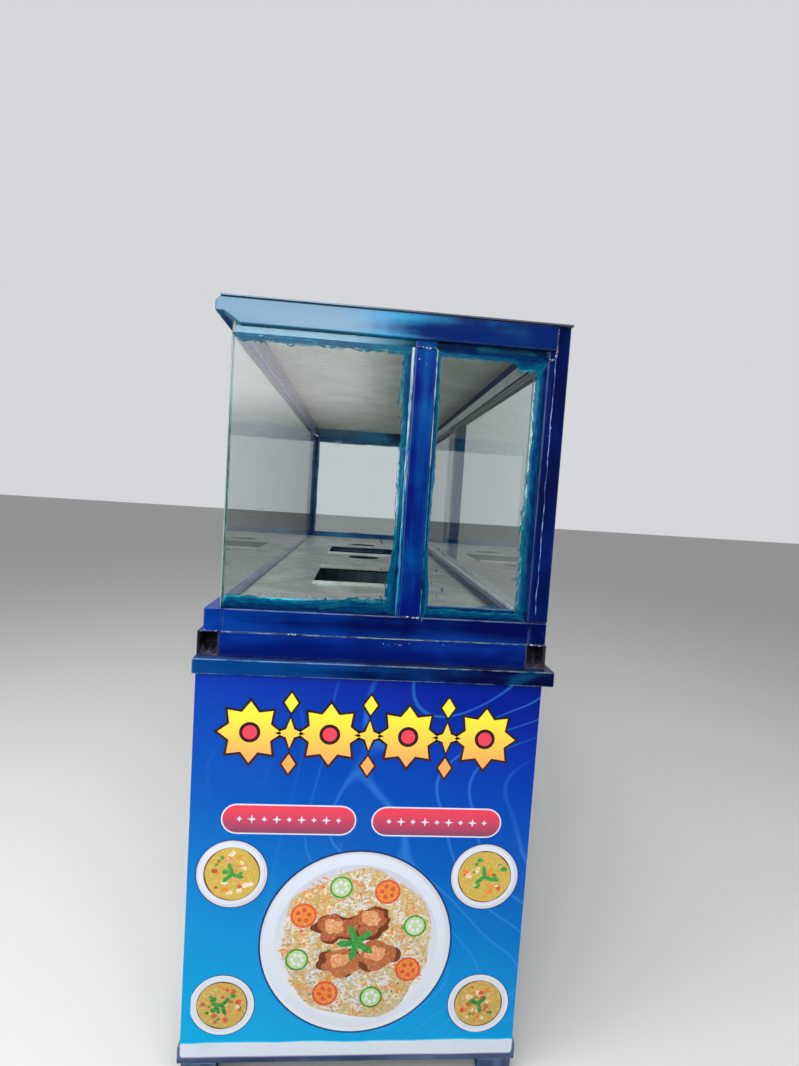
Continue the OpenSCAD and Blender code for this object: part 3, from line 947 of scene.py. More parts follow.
# Counter: a stainless sheet with cut-outs for pans and pots, scratched along its length and
# dulled by grease, with pale lips that are partly bare steel and partly a painted highlight.
STEEL_DULL = (0.50, 0.51, 0.48)
STEEL_BRIGHT = (0.74, 0.75, 0.73)
GREASE = (0.17, 0.15, 0.12)
COUNTER_EDGE = 0.0006


def counter_steel():
    """Smeared stainless steel."""
    material, tree, looks, place = new_material("counter_steel")
    stroke = stretched(tree, place, (160.0, 6.0, 60.0))
    scratches = cloud(tree, stroke, 1.0, 6.0, 0.7)
    smears = cloud(tree, place, 7.0, 5.0, 0.6, 1.4)
    spots = cloud(tree, place, 55.0, 4.0, 0.7)
    steel = blend(tree, fade(tree, smears, 0.35, 0.65), STEEL_DULL, STEEL_BRIGHT)
    stained = times(tree, fade(tree, spots, 0.58, 0.72), fade(tree, smears, 0.6, 0.4))
    edge = wear_and_glint_mask(tree, place, 0.0015)
    specks = fade(tree, cloud(tree, place, 210.0, 3.0, 0.6), 0.66, 0.72)
    grime = maths(tree, "MAXIMUM", times(tree, stained, 0.60),
                  times(tree, specks, 0.75))
    colour = blend(tree, grime, steel, GREASE)
    # The pale edge colour is partly bare steel and partly a painted highlight.
    colour = blend(tree, edge, colour, (0.8, 0.8, 0.8))
    rough = maths(tree, "MULTIPLY_ADD", scratches, 0.25, fade(tree, smears, 0.3, 0.7, 0.34, 0.16))
    fill(tree, looks, {"Base Color": colour, "Metallic": 0.75, "Roughness": rough})
    raised(tree, looks, maths(tree, "MULTIPLY_ADD", scratches, 0.3, smears), 0.25, 0.0008)
    return material


painted("counter_top", counter_steel(), COUNTER_EDGE)
bearer_enamel = enamel("bearer_enamel", ALONG_X, SLATE_DEEP, SLATE_CLEAR, SLATE_THIN, 0.5)
painted("counter_bearers", bearer_enamel, BAR_EDGE)


# Sliding glass tracks: a painted square tube lies on the counter, and on it an aluminium double
# channel. The upper channel hangs from the long rail.
LEDGE_DEEP = (0.004, 0.010, 0.040)
LEDGE_CLEAR = (0.018, 0.030, 0.085)
LEDGE_EDGE = 0.0025
TRACK_EDGE = 0.0004
ledge_enamel = enamel("ledge_enamel", ALONG_Y, LEDGE_DEEP, LEDGE_CLEAR, (0.04, 0.05, 0.09),
                      0.4, dusty=0.06, shine=0.12)
painted("track_ledge", ledge_enamel, LEDGE_EDGE)


def drawn_aluminium():
    """Extruded aluminium, dull, with dirt in the die lines and a painted highlight along its
    edges.
    """
    material, tree, looks, place = new_material("drawn_aluminium")
    stroke = stretched(tree, place, (420.0, 3.0, 420.0))
    lines = cloud(tree, stroke, 1.0, 4.0, 0.6)
    dirt = fade(tree, cloud(tree, place, 24.0, 5.0, 0.65), 0.52, 0.70)
    colour = blend(tree, lines, (0.60, 0.61, 0.63), (0.80, 0.81, 0.83))
    colour = blend(tree, times(tree, dirt, 0.6), colour, (0.10, 0.10, 0.10))
    # A near-white painted highlight along the edges.
    edge_glint = wear_and_glint_mask(tree, place, 0.0022)
    fill(tree, looks, {"Base Color": blend(tree, edge_glint, colour, (0.95, 0.96, 0.98)),
                       "Metallic": maths(tree, "MULTIPLY_ADD", edge_glint, -0.4, 0.60),
                       "Roughness": fade(tree, lines, 0.3, 0.7, 0.28, 0.48)})
    raised(tree, looks, lines, 0.2, 0.0003)
    return material


track_metal = drawn_aluminium()
painted("track_bottom", track_metal, TRACK_EDGE)
painted("track_top", track_metal, TRACK_EDGE)


# Posts: square tubes between the sills and the roof rails, brushed up and down. The centre post
# of the near end is the brightest, and the corner posts are nearly navy.
POST_EDGE = 0.0035
centre_post_enamel = enamel("centre_post_enamel", ALONG_Z, (0.0006, 0.0065, 0.120),
                            (0.0006, 0.055, 0.225), (0.0010, 0.12, 0.29), 0.30,
                            wear_and_glint_colour=(0.10, 0.30, 0.55), lean=(0.0, 0.0, 0.32), shift=-0.42,
                            shine=0.25)
# The corner posts' light blue edges are a painted highlight along the rounded corners.
corner_post_enamel = enamel("corner_post_enamel", ALONG_Z, (0.0010, 0.0030, 0.036),
                            (0.0008, 0.008, 0.088), (0.0010, 0.022, 0.120), 0.3,
                            wear_and_glint_colour=(0.32, 0.44, 0.66), wear_and_glint_share=0.9, shine=0.25)
far_post_enamel = enamel("far_post_enamel", ALONG_Z, (0.0010, 0.014, 0.075),
                         (0.0015, 0.045, 0.170), TEAL_THIN, 0.4, dusty=0.1)
for post, paint in (("post_near_centre", centre_post_enamel),
                    ("post_near_server", corner_post_enamel),
                    ("post_far_server", corner_post_enamel),
                    ("post_middle_server", far_post_enamel),
                    ("post_far_customer", far_post_enamel)):
    painted(post, paint, POST_EDGE)


# Glazing strips: flat bars behind the end panes, which take the overspill of every brush that
# painted the frame. They show through the glass as teal bands.
STRIP_EDGE = 0.0008
# The near strips' bright cyan, lighter towards the customer side, is a painted light on the strip
# behind the glass.
strip_enamel = enamel("strip_enamel", ALONG_X, (0.001, 0.035, 0.170),
                      (0.030, 0.560, 0.780), (0.05, 0.52, 0.70), 0.4,
                      wear_and_glint_colour=(0.10, 0.42, 0.60), lean=(-0.60, 0.0, 0.0), shift=-0.02)
painted("glazing_strips_near", strip_enamel, STRIP_EDGE)
far_strip_enamel = enamel("far_strip_enamel", ALONG_X, (0.003, 0.034, 0.120),
                          (0.020, 0.120, 0.270), (0.020, 0.20, 0.32), 0.4)
painted("glazing_strips_far", far_strip_enamel, STRIP_EDGE)


# Roof rails: folded end rails whose customer end is cut to the leaning eave, the eave itself,
# and a deeper rail over the sliding glass.
RAIL_EDGE = 0.003
RAIL_DEEP = (0.0006, 0.011, 0.092)
RAIL_CLEAR = (0.004, 0.205, 0.410)
RAIL_PAINTED_GLARE = (0.021, 0.126, 0.227)
RAIL_THIN = (0.004, 0.15, 0.30)
# The end rails carry painted light: a painted glare at the customer end and a painted shade that
# deepens towards the server side.
top_rail_enamel = enamel("top_rail_enamel", ALONG_X, RAIL_DEEP, RAIL_CLEAR, RAIL_THIN, 0.15,
                         wear_and_glint_colour=(0.30, 0.38, 0.44), lean=(-0.80, 0.0, 0.0), shift=0.01,
                         shine=0.45, painted_glare=RAIL_PAINTED_GLARE)
eave_enamel = enamel("eave_enamel", ALONG_Y, RAIL_DEEP, (0.002, 0.070, 0.250), RAIL_THIN, 0.4)
server_rail_enamel = enamel("server_rail_enamel", ALONG_Y, NAVY_DEEP, NAVY_CLEAR,
                            (0.004, 0.10, 0.18), 0.6)
for rail, paint in (("top_rail_near", top_rail_enamel), ("top_rail_far", top_rail_enamel),
                    ("eave_customer", eave_enamel), ("top_rail_server", server_rail_enamel)):
    painted(rail, paint, RAIL_EDGE)


# Ceiling board: a pale board inside the roof, yellowed by steam and fat and streaked along its
# fibres.
BOARD_EDGE = 0.0005
BOARD_PALE = (0.52, 0.54, 0.48)
BOARD_STAIN = (0.34, 0.37, 0.33)
BOARD_FIBRE = (0.58, 0.58, 0.52)


def ceiling_finish():
    """Pale painted board with stains."""
    material, tree, looks, place = new_material("ceiling_finish")
    stains = cloud(tree, place, 5.0, 5.0, 0.6, 0.8)
    fibres = cloud(tree, place, 120.0, 3.0, 0.6)
    colour = blend(tree, fade(tree, stains, 0.35, 0.68), BOARD_PALE, BOARD_STAIN)
    colour = blend(tree, times(tree, fibres, 0.3), colour, BOARD_FIBRE)
    fill(tree, looks, {"Base Color": colour,
                       "Roughness": fade(tree, stains, 0.3, 0.7, 0.45, 0.70)})
    raised(tree, looks, fibres, 0.25, 0.0004)
    return material


painted("ceiling_board", ceiling_finish(), BOARD_EDGE)


# Roof sheet: a thin galvanised sheet on top, whose lip shows as a grey line over the near rail.
# Its cut edge lightens towards the customer end, a painted glare.
ROOF_EDGE = 0.0008
ROOF_CUT = (0.050, 0.060, 0.085)
ROOF_CUT_PAINTED_GLARE = (0.150, 0.200, 0.285)


def roof_zinc():
    """Galvanised sheet, dull and dusty, with a painted glare on the cut edge at the customer end.
    """
    material, tree, looks, place = new_material("roof_zinc")
    spangle = node(tree, "ShaderNodeTexVoronoi", {"Vector": place, "Scale": 60.0}).outputs["Color"]
    tone = node(tree, "ShaderNodeSeparateColor", {0: spangle}).outputs[0]
    dust = settled_dust(tree, place, 0.75)
    zinc = blend(tree, fade(tree, tone, 0.0, 1.0), (0.38, 0.41, 0.44), (0.45, 0.48, 0.51))
    cut = fade(tree, maths(tree, "ABSOLUTE", facing_up(tree)), 0.7, 0.4)
    top = blend(tree, dust, zinc, FLOOR_DUST)
    left = fade(tree, one_axis(tree, place, 0), 0.04, -0.16)
    lip_with_glare = blend(tree, left, ROOF_CUT, ROOF_CUT_PAINTED_GLARE)
    bare = maths(tree, "SUBTRACT", 1.0, maths(tree, "MAXIMUM", dust, cut), clamp=True)
    fill(tree, looks, {"Base Color": blend(tree, cut, top, lip_with_glare),
                       "Metallic": times(tree, bare, 0.9),
                       "Roughness": maths(tree, "MULTIPLY_ADD", dust, 0.4, 0.35)})
    raised(tree, looks, cloud(tree, place, 9.0, 2.0), 0.3, 0.002)
    return material


painted("roof_sheet", roof_zinc(), ROOF_EDGE)


# Glass: plain float glass, fixed at the ends and on the customer side and sliding on the server
# side, with wiped smears and spots of dirt.
def window_glass():
    """Clear glass that lets lamps through."""
    material, tree, looks, place = new_material("window_glass")
    smears = fade(tree, cloud(tree, place, 6.0, 4.0, 0.6, 2.2), 0.60, 0.72, 0.0, 0.10)
    fill(tree, looks, {"Base Color": (0.93, 0.97, 0.96), "Transmission Weight": 1.0,
                       "IOR": 1.46, "Roughness": smears})
    clear = node(tree, "ShaderNodeBsdfTransparent", {"Color": (0.90, 0.94, 0.93)})
    ray = tree.nodes.new("ShaderNodeLightPath").outputs["Is Shadow Ray"]
    solid = tree.nodes["Principled BSDF"]
    mixed = node(tree, "ShaderNodeMixShader", {0: ray, 1: solid.outputs[0], 2: clear.outputs[0]})
    fill(tree, tree.nodes["Material Output"].inputs, {"Surface": mixed.outputs[0]})
    return material


def ground_edge():
    """The ground rim of a pane, grey green."""
    material, tree, looks, place = new_material("ground_edge")
    tone = cloud(tree, place, 40.0, 3.0, 0.6)
    colour = blend(tree, fade(tree, tone, 0.35, 0.65), (0.16, 0.26, 0.25), (0.30, 0.42, 0.40))
    fill(tree, looks, {"Base Color": colour, "Roughness": 0.45})
    raised(tree, looks, tone, 0.3, 0.0003)
    return material


def glazed(name, glass, rim):
    """A pane whose broad faces are clear and whose narrow edges are ground."""
    made = piece("glass_" + name, welded_copy(name), glass)
    made.data.materials.append(rim)
    broad = max(face.area for face in made.data.polygons)
    for face in made.data.polygons:
        face.material_index = int(face.area < broad * 0.2)
    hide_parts(name)


clear_glass = window_glass()
pane_rim = ground_edge()
for pane in ("pane_near_customer", "pane_near_server", "pane_far", "pane_customer",
             "sliding_pane_near", "sliding_pane_far"):
    glazed(pane, clear_glass, pane_rim)


# Overspill: where the brush ran past the steel onto the glass. The same enamel lies on the outer
# faces of the panes in thin films, navy beside the frame and teal at their ragged edges, with
# stray strokes of a few bristles and small dabs beside them.
FILM_THICK = 0.00025
FILM_STEP = 0.006
FILM_SHARES = (-0.06, 0.35, 0.70, 1.0)
FILM_LIFT = 0.00008
NEAR_GLASS_Y = -1.0451
FAR_GLASS_Y = 1.0451
CUSTOMER_GLASS_X = -0.3331
GLASS_LOW = 1.033
GLASS_HIGH = 1.594
POST_CUSTOMER_SIDE = 0.037
POST_SERVER_SIDE = 0.082
SERVER_POST_SIDE = 0.317
CORNER_X = -0.333
FAR_POST_SIDE = -0.321
UPWARD, DOWNWARD = (0, 0, 1), (0, 0, -1)
TO_CUSTOMER, TO_SERVER = (-1, 0, 0), (1, 0, 0)
LONG_PANE_NEAR = -1.043
LONG_PANE_FAR = 1.010


def swayed(tree, value, marks, amount):
    """A value shifted to either side by marks that lie round a half."""
    return maths(tree, "MULTIPLY_ADD", maths(tree, "SUBTRACT", marks, 0.5), amount, value)


def overspill_paint():
    """Thin enamel on glass: its cover and colour follow the film's own width."""
    material, tree, looks, place = new_material("overspill_paint")
    along = node(tree, "ShaderNodeUVMap", uv_map="film").outputs[0]
    across = one_axis(tree, along, 1)
    bays, teeth, drag, mottle = [
        cloud(tree, stretched(tree, along, stretch), 1.0, detail, 0.55)
        for stretch, detail in (((22.0, 2.2, 1.0), 2.0), ((64.0, 10.0, 1.0), 2.0),
                                ((5.0, 6.0, 1.0), 2.0), ((46.0, 3.0, 1.0), 4.0))]
    reach = swayed(tree, swayed(tree, across, bays, 0.35), teeth, 0.8)
    edge = fade(tree, reach, 0.92, 0.82)
    thick = maths(tree, "MULTIPLY_ADD", maths(tree, "SUBTRACT", drag, 0.5), -1.2,
                  fade(tree, reach, 0.90, 0.30, 0.78, 1.0), clamp=True)
    tone = swayed(tree, swayed(tree, times(tree, reach, 0.62), drag, 0.7), mottle, 0.7)
    colour = colour_ramp(tree, tone, (
        (0.0, (0.0006, 0.020, 0.120)), (0.22, (0.001, 0.060, 0.200)),
        (0.48, (0.002, 0.160, 0.280)), (0.80, (0.020, 0.560, 0.640))))
    fill(tree, looks, {"Base Color": colour, "Transmission Weight": 0.55, "IOR": 1.2,
                       "Alpha": times(tree, edge, thick),
                       "Roughness": fade(tree, drag, 0.3, 0.7, 0.15, 0.30)})
    raised(tree, looks, maths(tree, "ADD", drag, mottle), 0.25, 0.0004)
    return material


def overspill_film(form, start, end, inward, out, width, seed, lift=0.0, thin=0.0, taper=0.02):
    """One film from start to end along the frame's edge, reaching inward over the glass."""
    start, end, inward, out = Vector(start), Vector(end), Vector(inward), Vector(out)
    length = (end - start).length
    steps = max(4, round(length / FILM_STEP))
    film = form.loops.layers.uv.get("film") or form.loops.layers.uv.new("film")
    skins, spread = [], {}
    for depth in (lift + FILM_THICK, lift):
        skin = []
        for i in range(steps + 1):
            u = length * i / steps
            uneven = 0.30 * noise.noise(Vector((u * 9, seed * 3.7, 0.3)))
            uneven += 0.10 * noise.noise(Vector((u * 60, seed * 5.1, 1.7)))
            ends = min(1.0, 0.35 + min(u / 0.02, (length - u) / taper))
            wide = width * max(0.3, 1.1 + uneven) * ends
            base = start + (end - start) * (i / steps) + out * depth
            row = [form.verts.new(base + inward * (wide * v)) for v in FILM_SHARES]
            for point, v in zip(row, FILM_SHARES):
                spread[point] = (u + seed * 1.31, max(v * (1 - thin) + thin, 0.0))
            skin.append(row)
        skins.append(skin)
    for face in closed_slab(form, *skins):
        for loop in face.loops:
            loop[film].uv = spread[loop.vert]


def stray_stroke(form, pick, left, right, glass_y, out, seed, lift):
    """One thin mark of a few bristles that ran clear of the film beside it."""
    long = pick.uniform(0.020, 0.070)
    clear = pick.uniform(0.016, 0.030)
    upright = pick.random() < 0.65
    if upright:
        low = pick.uniform(GLASS_LOW + 0.02, GLASS_HIGH - 0.03 - long)
        start, end, inward = (right - clear, low), (right - clear * 0.9, low + long), TO_CUSTOMER
    else:
        low = pick.uniform(left + 0.02, right - 0.02 - long)
        start, end, inward = (low, GLASS_LOW + clear), (low + long, GLASS_LOW + clear), UPWARD
    overspill_film(form, (start[0], glass_y, start[1]), (end[0], glass_y, end[1]), inward, out,
                   pick.uniform(0.0012, 0.0026), seed, lift, 0.45)


def paint_dab(form, pick, edge_x, towards, glass_y, out, seed, lift):
    """One short dab of thin enamel, thrown off the brush low down beside a post."""
    away = 0.014 + 0.030 * pick.random() ** 1.8
    low = GLASS_LOW + 0.020 + 0.140 * pick.random() ** 1.5
    long = pick.uniform(0.004, 0.013)
    lean = pick.uniform(-0.4, 0.4) * long
    across = edge_x + towards * away
    overspill_film(form, (across, glass_y, low), (across + lean, glass_y, low + long),
                   (towards, 0, 0), out, pick.uniform(0.0020, 0.0050), seed, lift,
                   pick.uniform(0.15, 0.45), 0.006)


def end_films(name, glass_y, out_y, paint):
    """The films on both panes of one end, or round the one pane of the other."""
    form = bmesh.new()
    out = (0, out_y, 0)
    lifts = iter(range(40))
    pick = random.Random(5 + out_y)
    if name == "near":
        openings = ((CORNER_X, POST_CUSTOMER_SIDE), (POST_SERVER_SIDE, SERVER_POST_SIDE))
    else:
        openings = ((FAR_POST_SIDE, SERVER_POST_SIDE),)
    low, high = GLASS_LOW, GLASS_HIGH
    for k, (left, right) in enumerate(openings):
        near_left = name == "near" and k == 0
        runs = [((left, low), (right, low), UPWARD, 0.028 if near_left else 0.018),
                ((left, high), (right, high), DOWNWARD, 0.016),
                ((right, low), (right, high), TO_CUSTOMER, 0.020 if near_left else 0.026)]
        if near_left:
            runs += [((right, low), (-0.13, low), UPWARD, 0.036, 0.10),
                     ((right, low), (right, 1.24), TO_CUSTOMER, 0.031, 0.19),
                     ((right, high), (right, 1.38), TO_CUSTOMER, 0.026, 0.16),
                     ((left + 0.005, 1.5880), (right, 1.5880), DOWNWARD, 0.010)]
        else:
            runs += [((left, low), (left, high), TO_SERVER, 0.012),
                     ((right - 0.07, high), (right, high), DOWNWARD, 0.036)]
            if name == "near":
                runs.append(((left, low), (left, 1.17), TO_SERVER, 0.018, 0.12))
        for start, end, inward, width, *taper in runs:
            order = next(lifts)
            thin = 0.68 if near_left and start[1] == end[1] > 1.5 else 0.0
            overspill_film(form, (start[0], glass_y, start[1]), (end[0], glass_y, end[1]), inward,
                           out, width, order + 11 * (out_y > 0), (order + 0.2) * FILM_LIFT, thin,
                           *taper)
        for k in range(9):
            stray_stroke(form, pick, left, right, glass_y, out, k + 50, 0.0010 + k * 0.00004)
    for k in range(22):
        edge_x, towards = ((openings[0][1], -1), (openings[-1][0], 1))[k % 3 == 2]
        paint_dab(form, pick, edge_x, towards, glass_y, out, k + 70, 0.0014 + k * 0.00003)
    piece("overspill_" + name, form, paint)


film_enamel = overspill_paint()
end_films("near", NEAR_GLASS_Y, -1, film_enamel)
end_films("far", FAR_GLASS_Y, 1, film_enamel)
customer_films = bmesh.new()
for order, (start, end, inward, width) in enumerate((
        ((LONG_PANE_NEAR, GLASS_LOW), (LONG_PANE_FAR, GLASS_LOW), UPWARD, 0.009),
        ((LONG_PANE_NEAR, GLASS_HIGH), (LONG_PANE_FAR, GLASS_HIGH), DOWNWARD, 0.010),
        ((LONG_PANE_FAR, GLASS_LOW), (LONG_PANE_FAR, GLASS_HIGH), (0, -1, 0), 0.018))):
    overspill_film(customer_films, (CUSTOMER_GLASS_X, *start), (CUSTOMER_GLASS_X, *end), inward,
                   TO_CUSTOMER, width, order + 31, (order + 0.2) * FILM_LIFT)
piece("overspill_customer", customer_films, film_enamel)


# Sealant: beads of white silicone beside the centre post and down the glass corner, wiped with a
# finger and smeared over with the blue enamel.
BEAD_STEP = 0.004
SEALANT_PALE = (0.30, 0.40, 0.43)
SMEAR_TEAL = (0.004, 0.16, 0.30)
SMEAR_NAVY = (0.001, 0.03, 0.17)


def sealant_finish(name, smeared):
    """Greyish white silicone with more or less enamel smeared on it."""
    material, tree, looks, place = new_material(name)
    level = one_axis(tree, place, 2)
    stroke = stretched(tree, place, (260.0, 260.0, 22.0))
    smear = maths(tree, "ADD", cloud(tree, stroke, 1.0, 3.0, 0.6),
                  fade(tree, level, 1.15, 1.50, smeared + 0.12, smeared - 0.05))
    teal = blend(tree, fade(tree, smear, 0.62, 0.74), SMEAR_TEAL, SMEAR_NAVY)
    colour = blend(tree, fade(tree, smear, 0.40, 0.54), SEALANT_PALE, teal)
    fill(tree, looks, {"Base Color": colour, "Roughness": fade(tree, smear, 0.4, 0.6, 0.42, 0.20)})
    raised(tree, looks, smear, 0.5, 0.0006)
    return material


def sealant_bead(form, start, end, side, out, half, rise, seed):
    """A half-round bead along a line, uneven in width."""
    start, end, side, out = Vector(start), Vector(end), Vector(side), Vector(out)
    steps = max(6, round((end - start).length / BEAD_STEP))
    rings = []
    for i in range(steps + 1):
        share = i / steps
        swell = 1 + 0.45 * noise.noise(Vector((share * steps * 0.16, seed * 2.3, 0)))
        middle = start + (end - start) * share
        ring = []
        for k in range(7):
            turn = math.pi * k / 6
            ring.append(form.verts.new(middle + side * (half * swell * math.cos(turn))
                                       + out * (rise * min(1.0, swell) * math.sin(turn))))
        rings.append(ring)
    ring_skin(form, rings)


beads, corner_bead = bmesh.new(), bmesh.new()
for seed, (form, x, y, side, out, half, rise) in enumerate((
        (beads, 0.0335, NEAR_GLASS_Y, (1, 0, 0), (0, -1, 0), 0.0034, 0.0030),
        (beads, 0.0836, NEAR_GLASS_Y, (1, 0, 0), (0, -1, 0), 0.0016, 0.0016),
        (corner_bead, -0.3328, NEAR_GLASS_Y + 0.0003, (0.8, 0.6, 0), (-0.6, -0.8, 0),
         0.0013, 0.0009),
        (beads, -0.3188, FAR_GLASS_Y, (1, 0, 0), (0, 1, 0), 0.0026, 0.0022),
        (beads, 0.3148, FAR_GLASS_Y, (1, 0, 0), (0, 1, 0), 0.0026, 0.0022)), 1):
    sealant_bead(form, (x, y, GLASS_LOW), (x, y, GLASS_HIGH), side, out, half, rise, seed)
for name, form, smeared in (("sealant_beads", beads, 0.0), ("sealant_corner", corner_bead, -0.40)):
    bmesh.ops.recalc_face_normals(form, faces=form.faces)
    sealant = piece(name, form, sealant_finish(name + "_finish", smeared))
    sealant.data.shade_smooth()


# Welds: short runs of overlapping beads where tubes meet, never ground smooth, and spatter round
# them. The enamel lies thick on them.
def blob_tree():
    """Beads along guide lines, each turned and sized by chance."""
    tree, take, give, points = guide_tree(
        "weld_blobs",
        {"Bead Radius": "Float", "Scatter": "Float", "Kept Share": "Float", "Seed": "Int"})

    def chance(least, most, seed):
        return node(tree, "FunctionNodeRandomValue", {"Min": least, "Max": most, "Seed": seed},
                    data_type="FLOAT_VECTOR").outputs[0]

    shake = stretched(tree, chance((-1, -1, -1), (1, 1, 1), take["Seed"]), (1.0, 0.12, 1.0))
    offset = node(tree, "ShaderNodeVectorMath", {0: shake, "Scale": take["Scatter"]},
                  operation="SCALE").outputs[0]
    shaken = node(tree, "GeometryNodeSetPosition", {"Geometry": points, "Offset": offset})
    bead = node(tree, "GeometryNodeMeshIcoSphere",
                {"Radius": take["Bead Radius"], "Subdivisions": 2}).outputs[0]
    later = maths(tree, "ADD", take["Seed"], 7.0)
    kept = node(tree, "FunctionNodeRandomValue",
                {"Probability": take["Kept Share"], "Seed": take["Seed"]}, data_type="BOOLEAN")
    return planted(tree, take, give,
                   {"Points": shaken.outputs[0], "Selection": kept.outputs[3], "Instance": bead,
                    "Rotation": chance((-0.5, -0.5, -3), (0.5, 0.5, 3), later),
                    "Scale": chance((0.55, 0.45, 0.55), (1.25, 0.90, 1.25), later)})


def weld_finish():
    """Lumpy weld metal under thick enamel, with pale spots that are partly bare metal where the
    brush missed it and partly painted glints.
    """
    material, tree, looks, place = new_material("weld_finish")
    missed_and_glint = cloud(tree, place, 170.0, 3.0, 0.6)
    colour = blend(tree, fade(tree, missed_and_glint, 0.52, 0.60), (0.001, 0.014, 0.110),
                   (0.42, 0.50, 0.60))
    fill(tree, looks, {"Base Color": colour,
                       "Roughness": fade(tree, missed_and_glint, 0.4, 0.6, 0.10, 0.30)})
    raised(tree, looks, missed_and_glint, 0.5, 0.0005)
    return material


POST_FACE_Y = 1.0492
TUBE_FACE_Y = 1.0480
RIM_FACE_Y = 1.0650
PANE_FACE_Y = 1.0455
POST_TOP = 1.5945
POST_FOOT = 1.0325
TIER_JOINT = 0.9845
WELD_PLACES = (
    ((0.040, POST_FACE_Y, POST_TOP), (0.080, POST_FACE_Y, POST_TOP)),
    ((0.040, POST_FACE_Y, POST_FOOT), (0.080, POST_FACE_Y, POST_FOOT)),
    ((0.333, POST_FACE_Y, 1.600), (0.333, POST_FACE_Y, 1.657)),
    ((0.319, POST_FACE_Y, 1.592), (0.333, POST_FACE_Y, 1.592)),
    ((-0.364, TUBE_FACE_Y, TIER_JOINT), (-0.338, TUBE_FACE_Y, TIER_JOINT)),
    ((0.328, TUBE_FACE_Y, TIER_JOINT), (0.358, TUBE_FACE_Y, TIER_JOINT)),
    ((-0.190, TUBE_FACE_Y, TIER_JOINT), (-0.158, TUBE_FACE_Y, TIER_JOINT)))
SPATTER_PLACES = (
    ((0.033, POST_FACE_Y - 0.003, 1.45), (0.037, POST_FACE_Y, 1.53)),
    ((0.045, POST_FACE_Y, 1.57), (0.075, POST_FACE_Y, 1.555)),
    ((0.333, POST_FACE_Y, 1.42), (0.333, POST_FACE_Y, 1.60)),
    ((0.030, POST_FACE_Y, 1.037), (0.090, POST_FACE_Y, 1.026)),
    ((0.030, RIM_FACE_Y, 0.921), (0.075, RIM_FACE_Y, 0.915)),
    ((-0.020, TIER_FACE_Y, 0.972), (0.160, TIER_FACE_Y, 0.975)),
    ((0.012, PANE_FACE_Y, 1.40), (0.020, PANE_FACE_Y, 1.575)),
    ((-0.290, PANE_FACE_Y, 1.066), (0.010, PANE_FACE_Y, 1.060)),
    ((0.105, PANE_FACE_Y, 1.056), (0.290, PANE_FACE_Y, 1.058)),
    ((0.288, PANE_FACE_Y, 1.075), (0.286, PANE_FACE_Y, 1.240)))


def at_both_ends(places):
    """Guide lines for one end's places and for their mirror images at the other."""
    return guide_lines([[(x, side * y, z) for x, y, z in line]
                        for side in (-1, 1) for line in places])


WELD_BLOBS = blob_tree()
weld_metal = weld_finish()
grown("welds", at_both_ends(WELD_PLACES), WELD_BLOBS, Pitch=0.0026, Bead_Radius=0.0027,
      Scatter=0.0007, Kept_Share=1.0, Seed=3, Finish=weld_metal)
grown("spatter", at_both_ends(SPATTER_PLACES), WELD_BLOBS, Pitch=0.0045, Bead_Radius=0.0013,
      Scatter=0.0022, Kept_Share=0.42, Seed=8, Finish=weld_metal)


# Studio: a pale floor and surround, a soft-edged panel behind the camera that shows in the
# glass and on the roof rail, a wide panel overhead, and slim panels to the sides.
FLOOR_REACH = 30.0
PANELS = (("front_panel", (-0.70, -3.6, 2.30), (-0.70, 0.0, 2.30), (1.9, 1.3), 60, 0.26),
          ("top_panel", (-0.3, -2.0, 3.3), (-0.1, -0.9, 1.0), (3.2, 1.5), 95, 0.10),
          ("roof_panel", (0.0, 0.6, 4.2), (0.0, 0.5, 1.0), (2.4, 2.4), 50, 0.10),
          ("left_panel", (-3.2, -2.1, 1.6), (0.0, -0.9, 1.2), (1.6, 2.4), 130, 0.30),
          ("right_panel", (3.0, -1.8, 1.5), (0.0, -0.9, 1.2), (0.7, 2.2), 16, 0.10))


def mirrored_share(tree):
    """1 for a ray that a surface has reflected, 0 for one seen directly or through glass."""
    bounces = tree.nodes.new("ShaderNodeLightPath").outputs["Glossy Depth"]
    return maths(tree, "MINIMUM", bounces, 1.0)


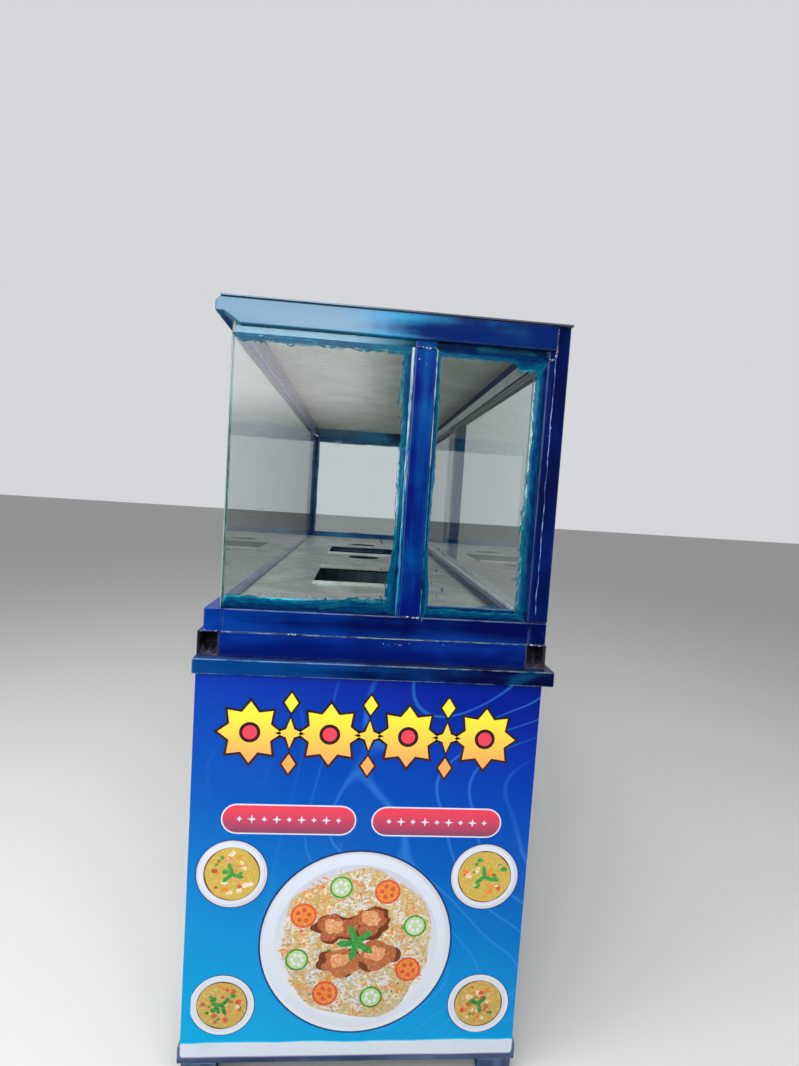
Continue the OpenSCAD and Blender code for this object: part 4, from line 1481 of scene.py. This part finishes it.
def studio_floor():
    """A matt floor that looks darker in reflections than it is."""
    mesh = bpy.data.meshes.new("floor")
    mesh.from_pydata([(x * FLOOR_REACH, y * FLOOR_REACH, 0)
                      for x, y in ((-1, -1), (1, -1), (1, 1), (-1, 1))], [], [(0, 1, 2, 3)])
    floor = in_scene("floor", mesh)
    material, tree, looks, place = new_material("floor_finish")
    colour = blend(tree, mirrored_share(tree), (0.60, 0.60, 0.58), (0.05, 0.05, 0.05))
    fill(tree, looks, {"Base Color": colour, "Roughness": 0.8})
    mesh.materials.append(material)


def soft_panel(name, place, aim, size, power, softness):
    """A rectangular panel light whose strength falls away towards its edges."""
    light = bpy.data.lights.new(name, "AREA")
    light.shape = "RECTANGLE"
    light.size, light.size_y = size
    light.energy = power
    light.use_nodes = True
    tree = light.node_tree
    across = tree.nodes.new("ShaderNodeNewGeometry").outputs["Parametric"]
    parts = node(tree, "ShaderNodeSeparateXYZ", {0: across}).outputs
    shares = []
    for i in (0, 1):
        inside = maths(tree, "MINIMUM", parts[i], maths(tree, "SUBTRACT", 1.0, parts[i]))
        shares.append(fade(tree, inside, 0.0, softness))
    fill(tree, tree.nodes["Emission"].inputs, {"Strength": times(tree, *shares)})
    lamp = in_scene(name, light)
    lamp.location = place
    lamp.rotation_euler = (Vector(aim) - Vector(place)).to_track_quat("-Z", "Y").to_euler()
    lamp.visible_camera = False
    lamp.visible_transmission = False


def surround():
    """A pale surround, which surfaces facing the camera reflect as a dark room."""
    world = bpy.data.worlds.new("surround")
    world.use_nodes = True
    tree = world.node_tree
    towards = tree.nodes.new("ShaderNodeTexCoord").outputs["Generated"]
    level = node(tree, "ShaderNodeSeparateXYZ", {0: towards}).outputs
    behind = fade(tree, level[1], 0.30, -0.30)
    ahead = fade(tree, level[1], 0.60, 0.96, 0.0, 0.60)
    dark = times(tree, mirrored_share(tree), maths(tree, "MAXIMUM", behind, ahead))
    strength = maths(tree, "MULTIPLY_ADD", dark, -0.62, 0.70)
    path = tree.nodes.new("ShaderNodeLightPath").outputs
    shade = times(tree, path["Is Diffuse Ray"], fade(tree, level[0], -0.5, 0.9, 0.22, 0.62))
    strength = times(tree, strength, maths(tree, "SUBTRACT", 1.0, shade))
    fill(tree, tree.nodes["Background"].inputs, {"Color": (0.95, 0.97, 1.0), "Strength": strength})
    bpy.context.scene.world = world


bpy.context.scene.view_settings.view_transform = "Standard"
studio_floor()
for panel in PANELS:
    soft_panel(*panel)
surround()
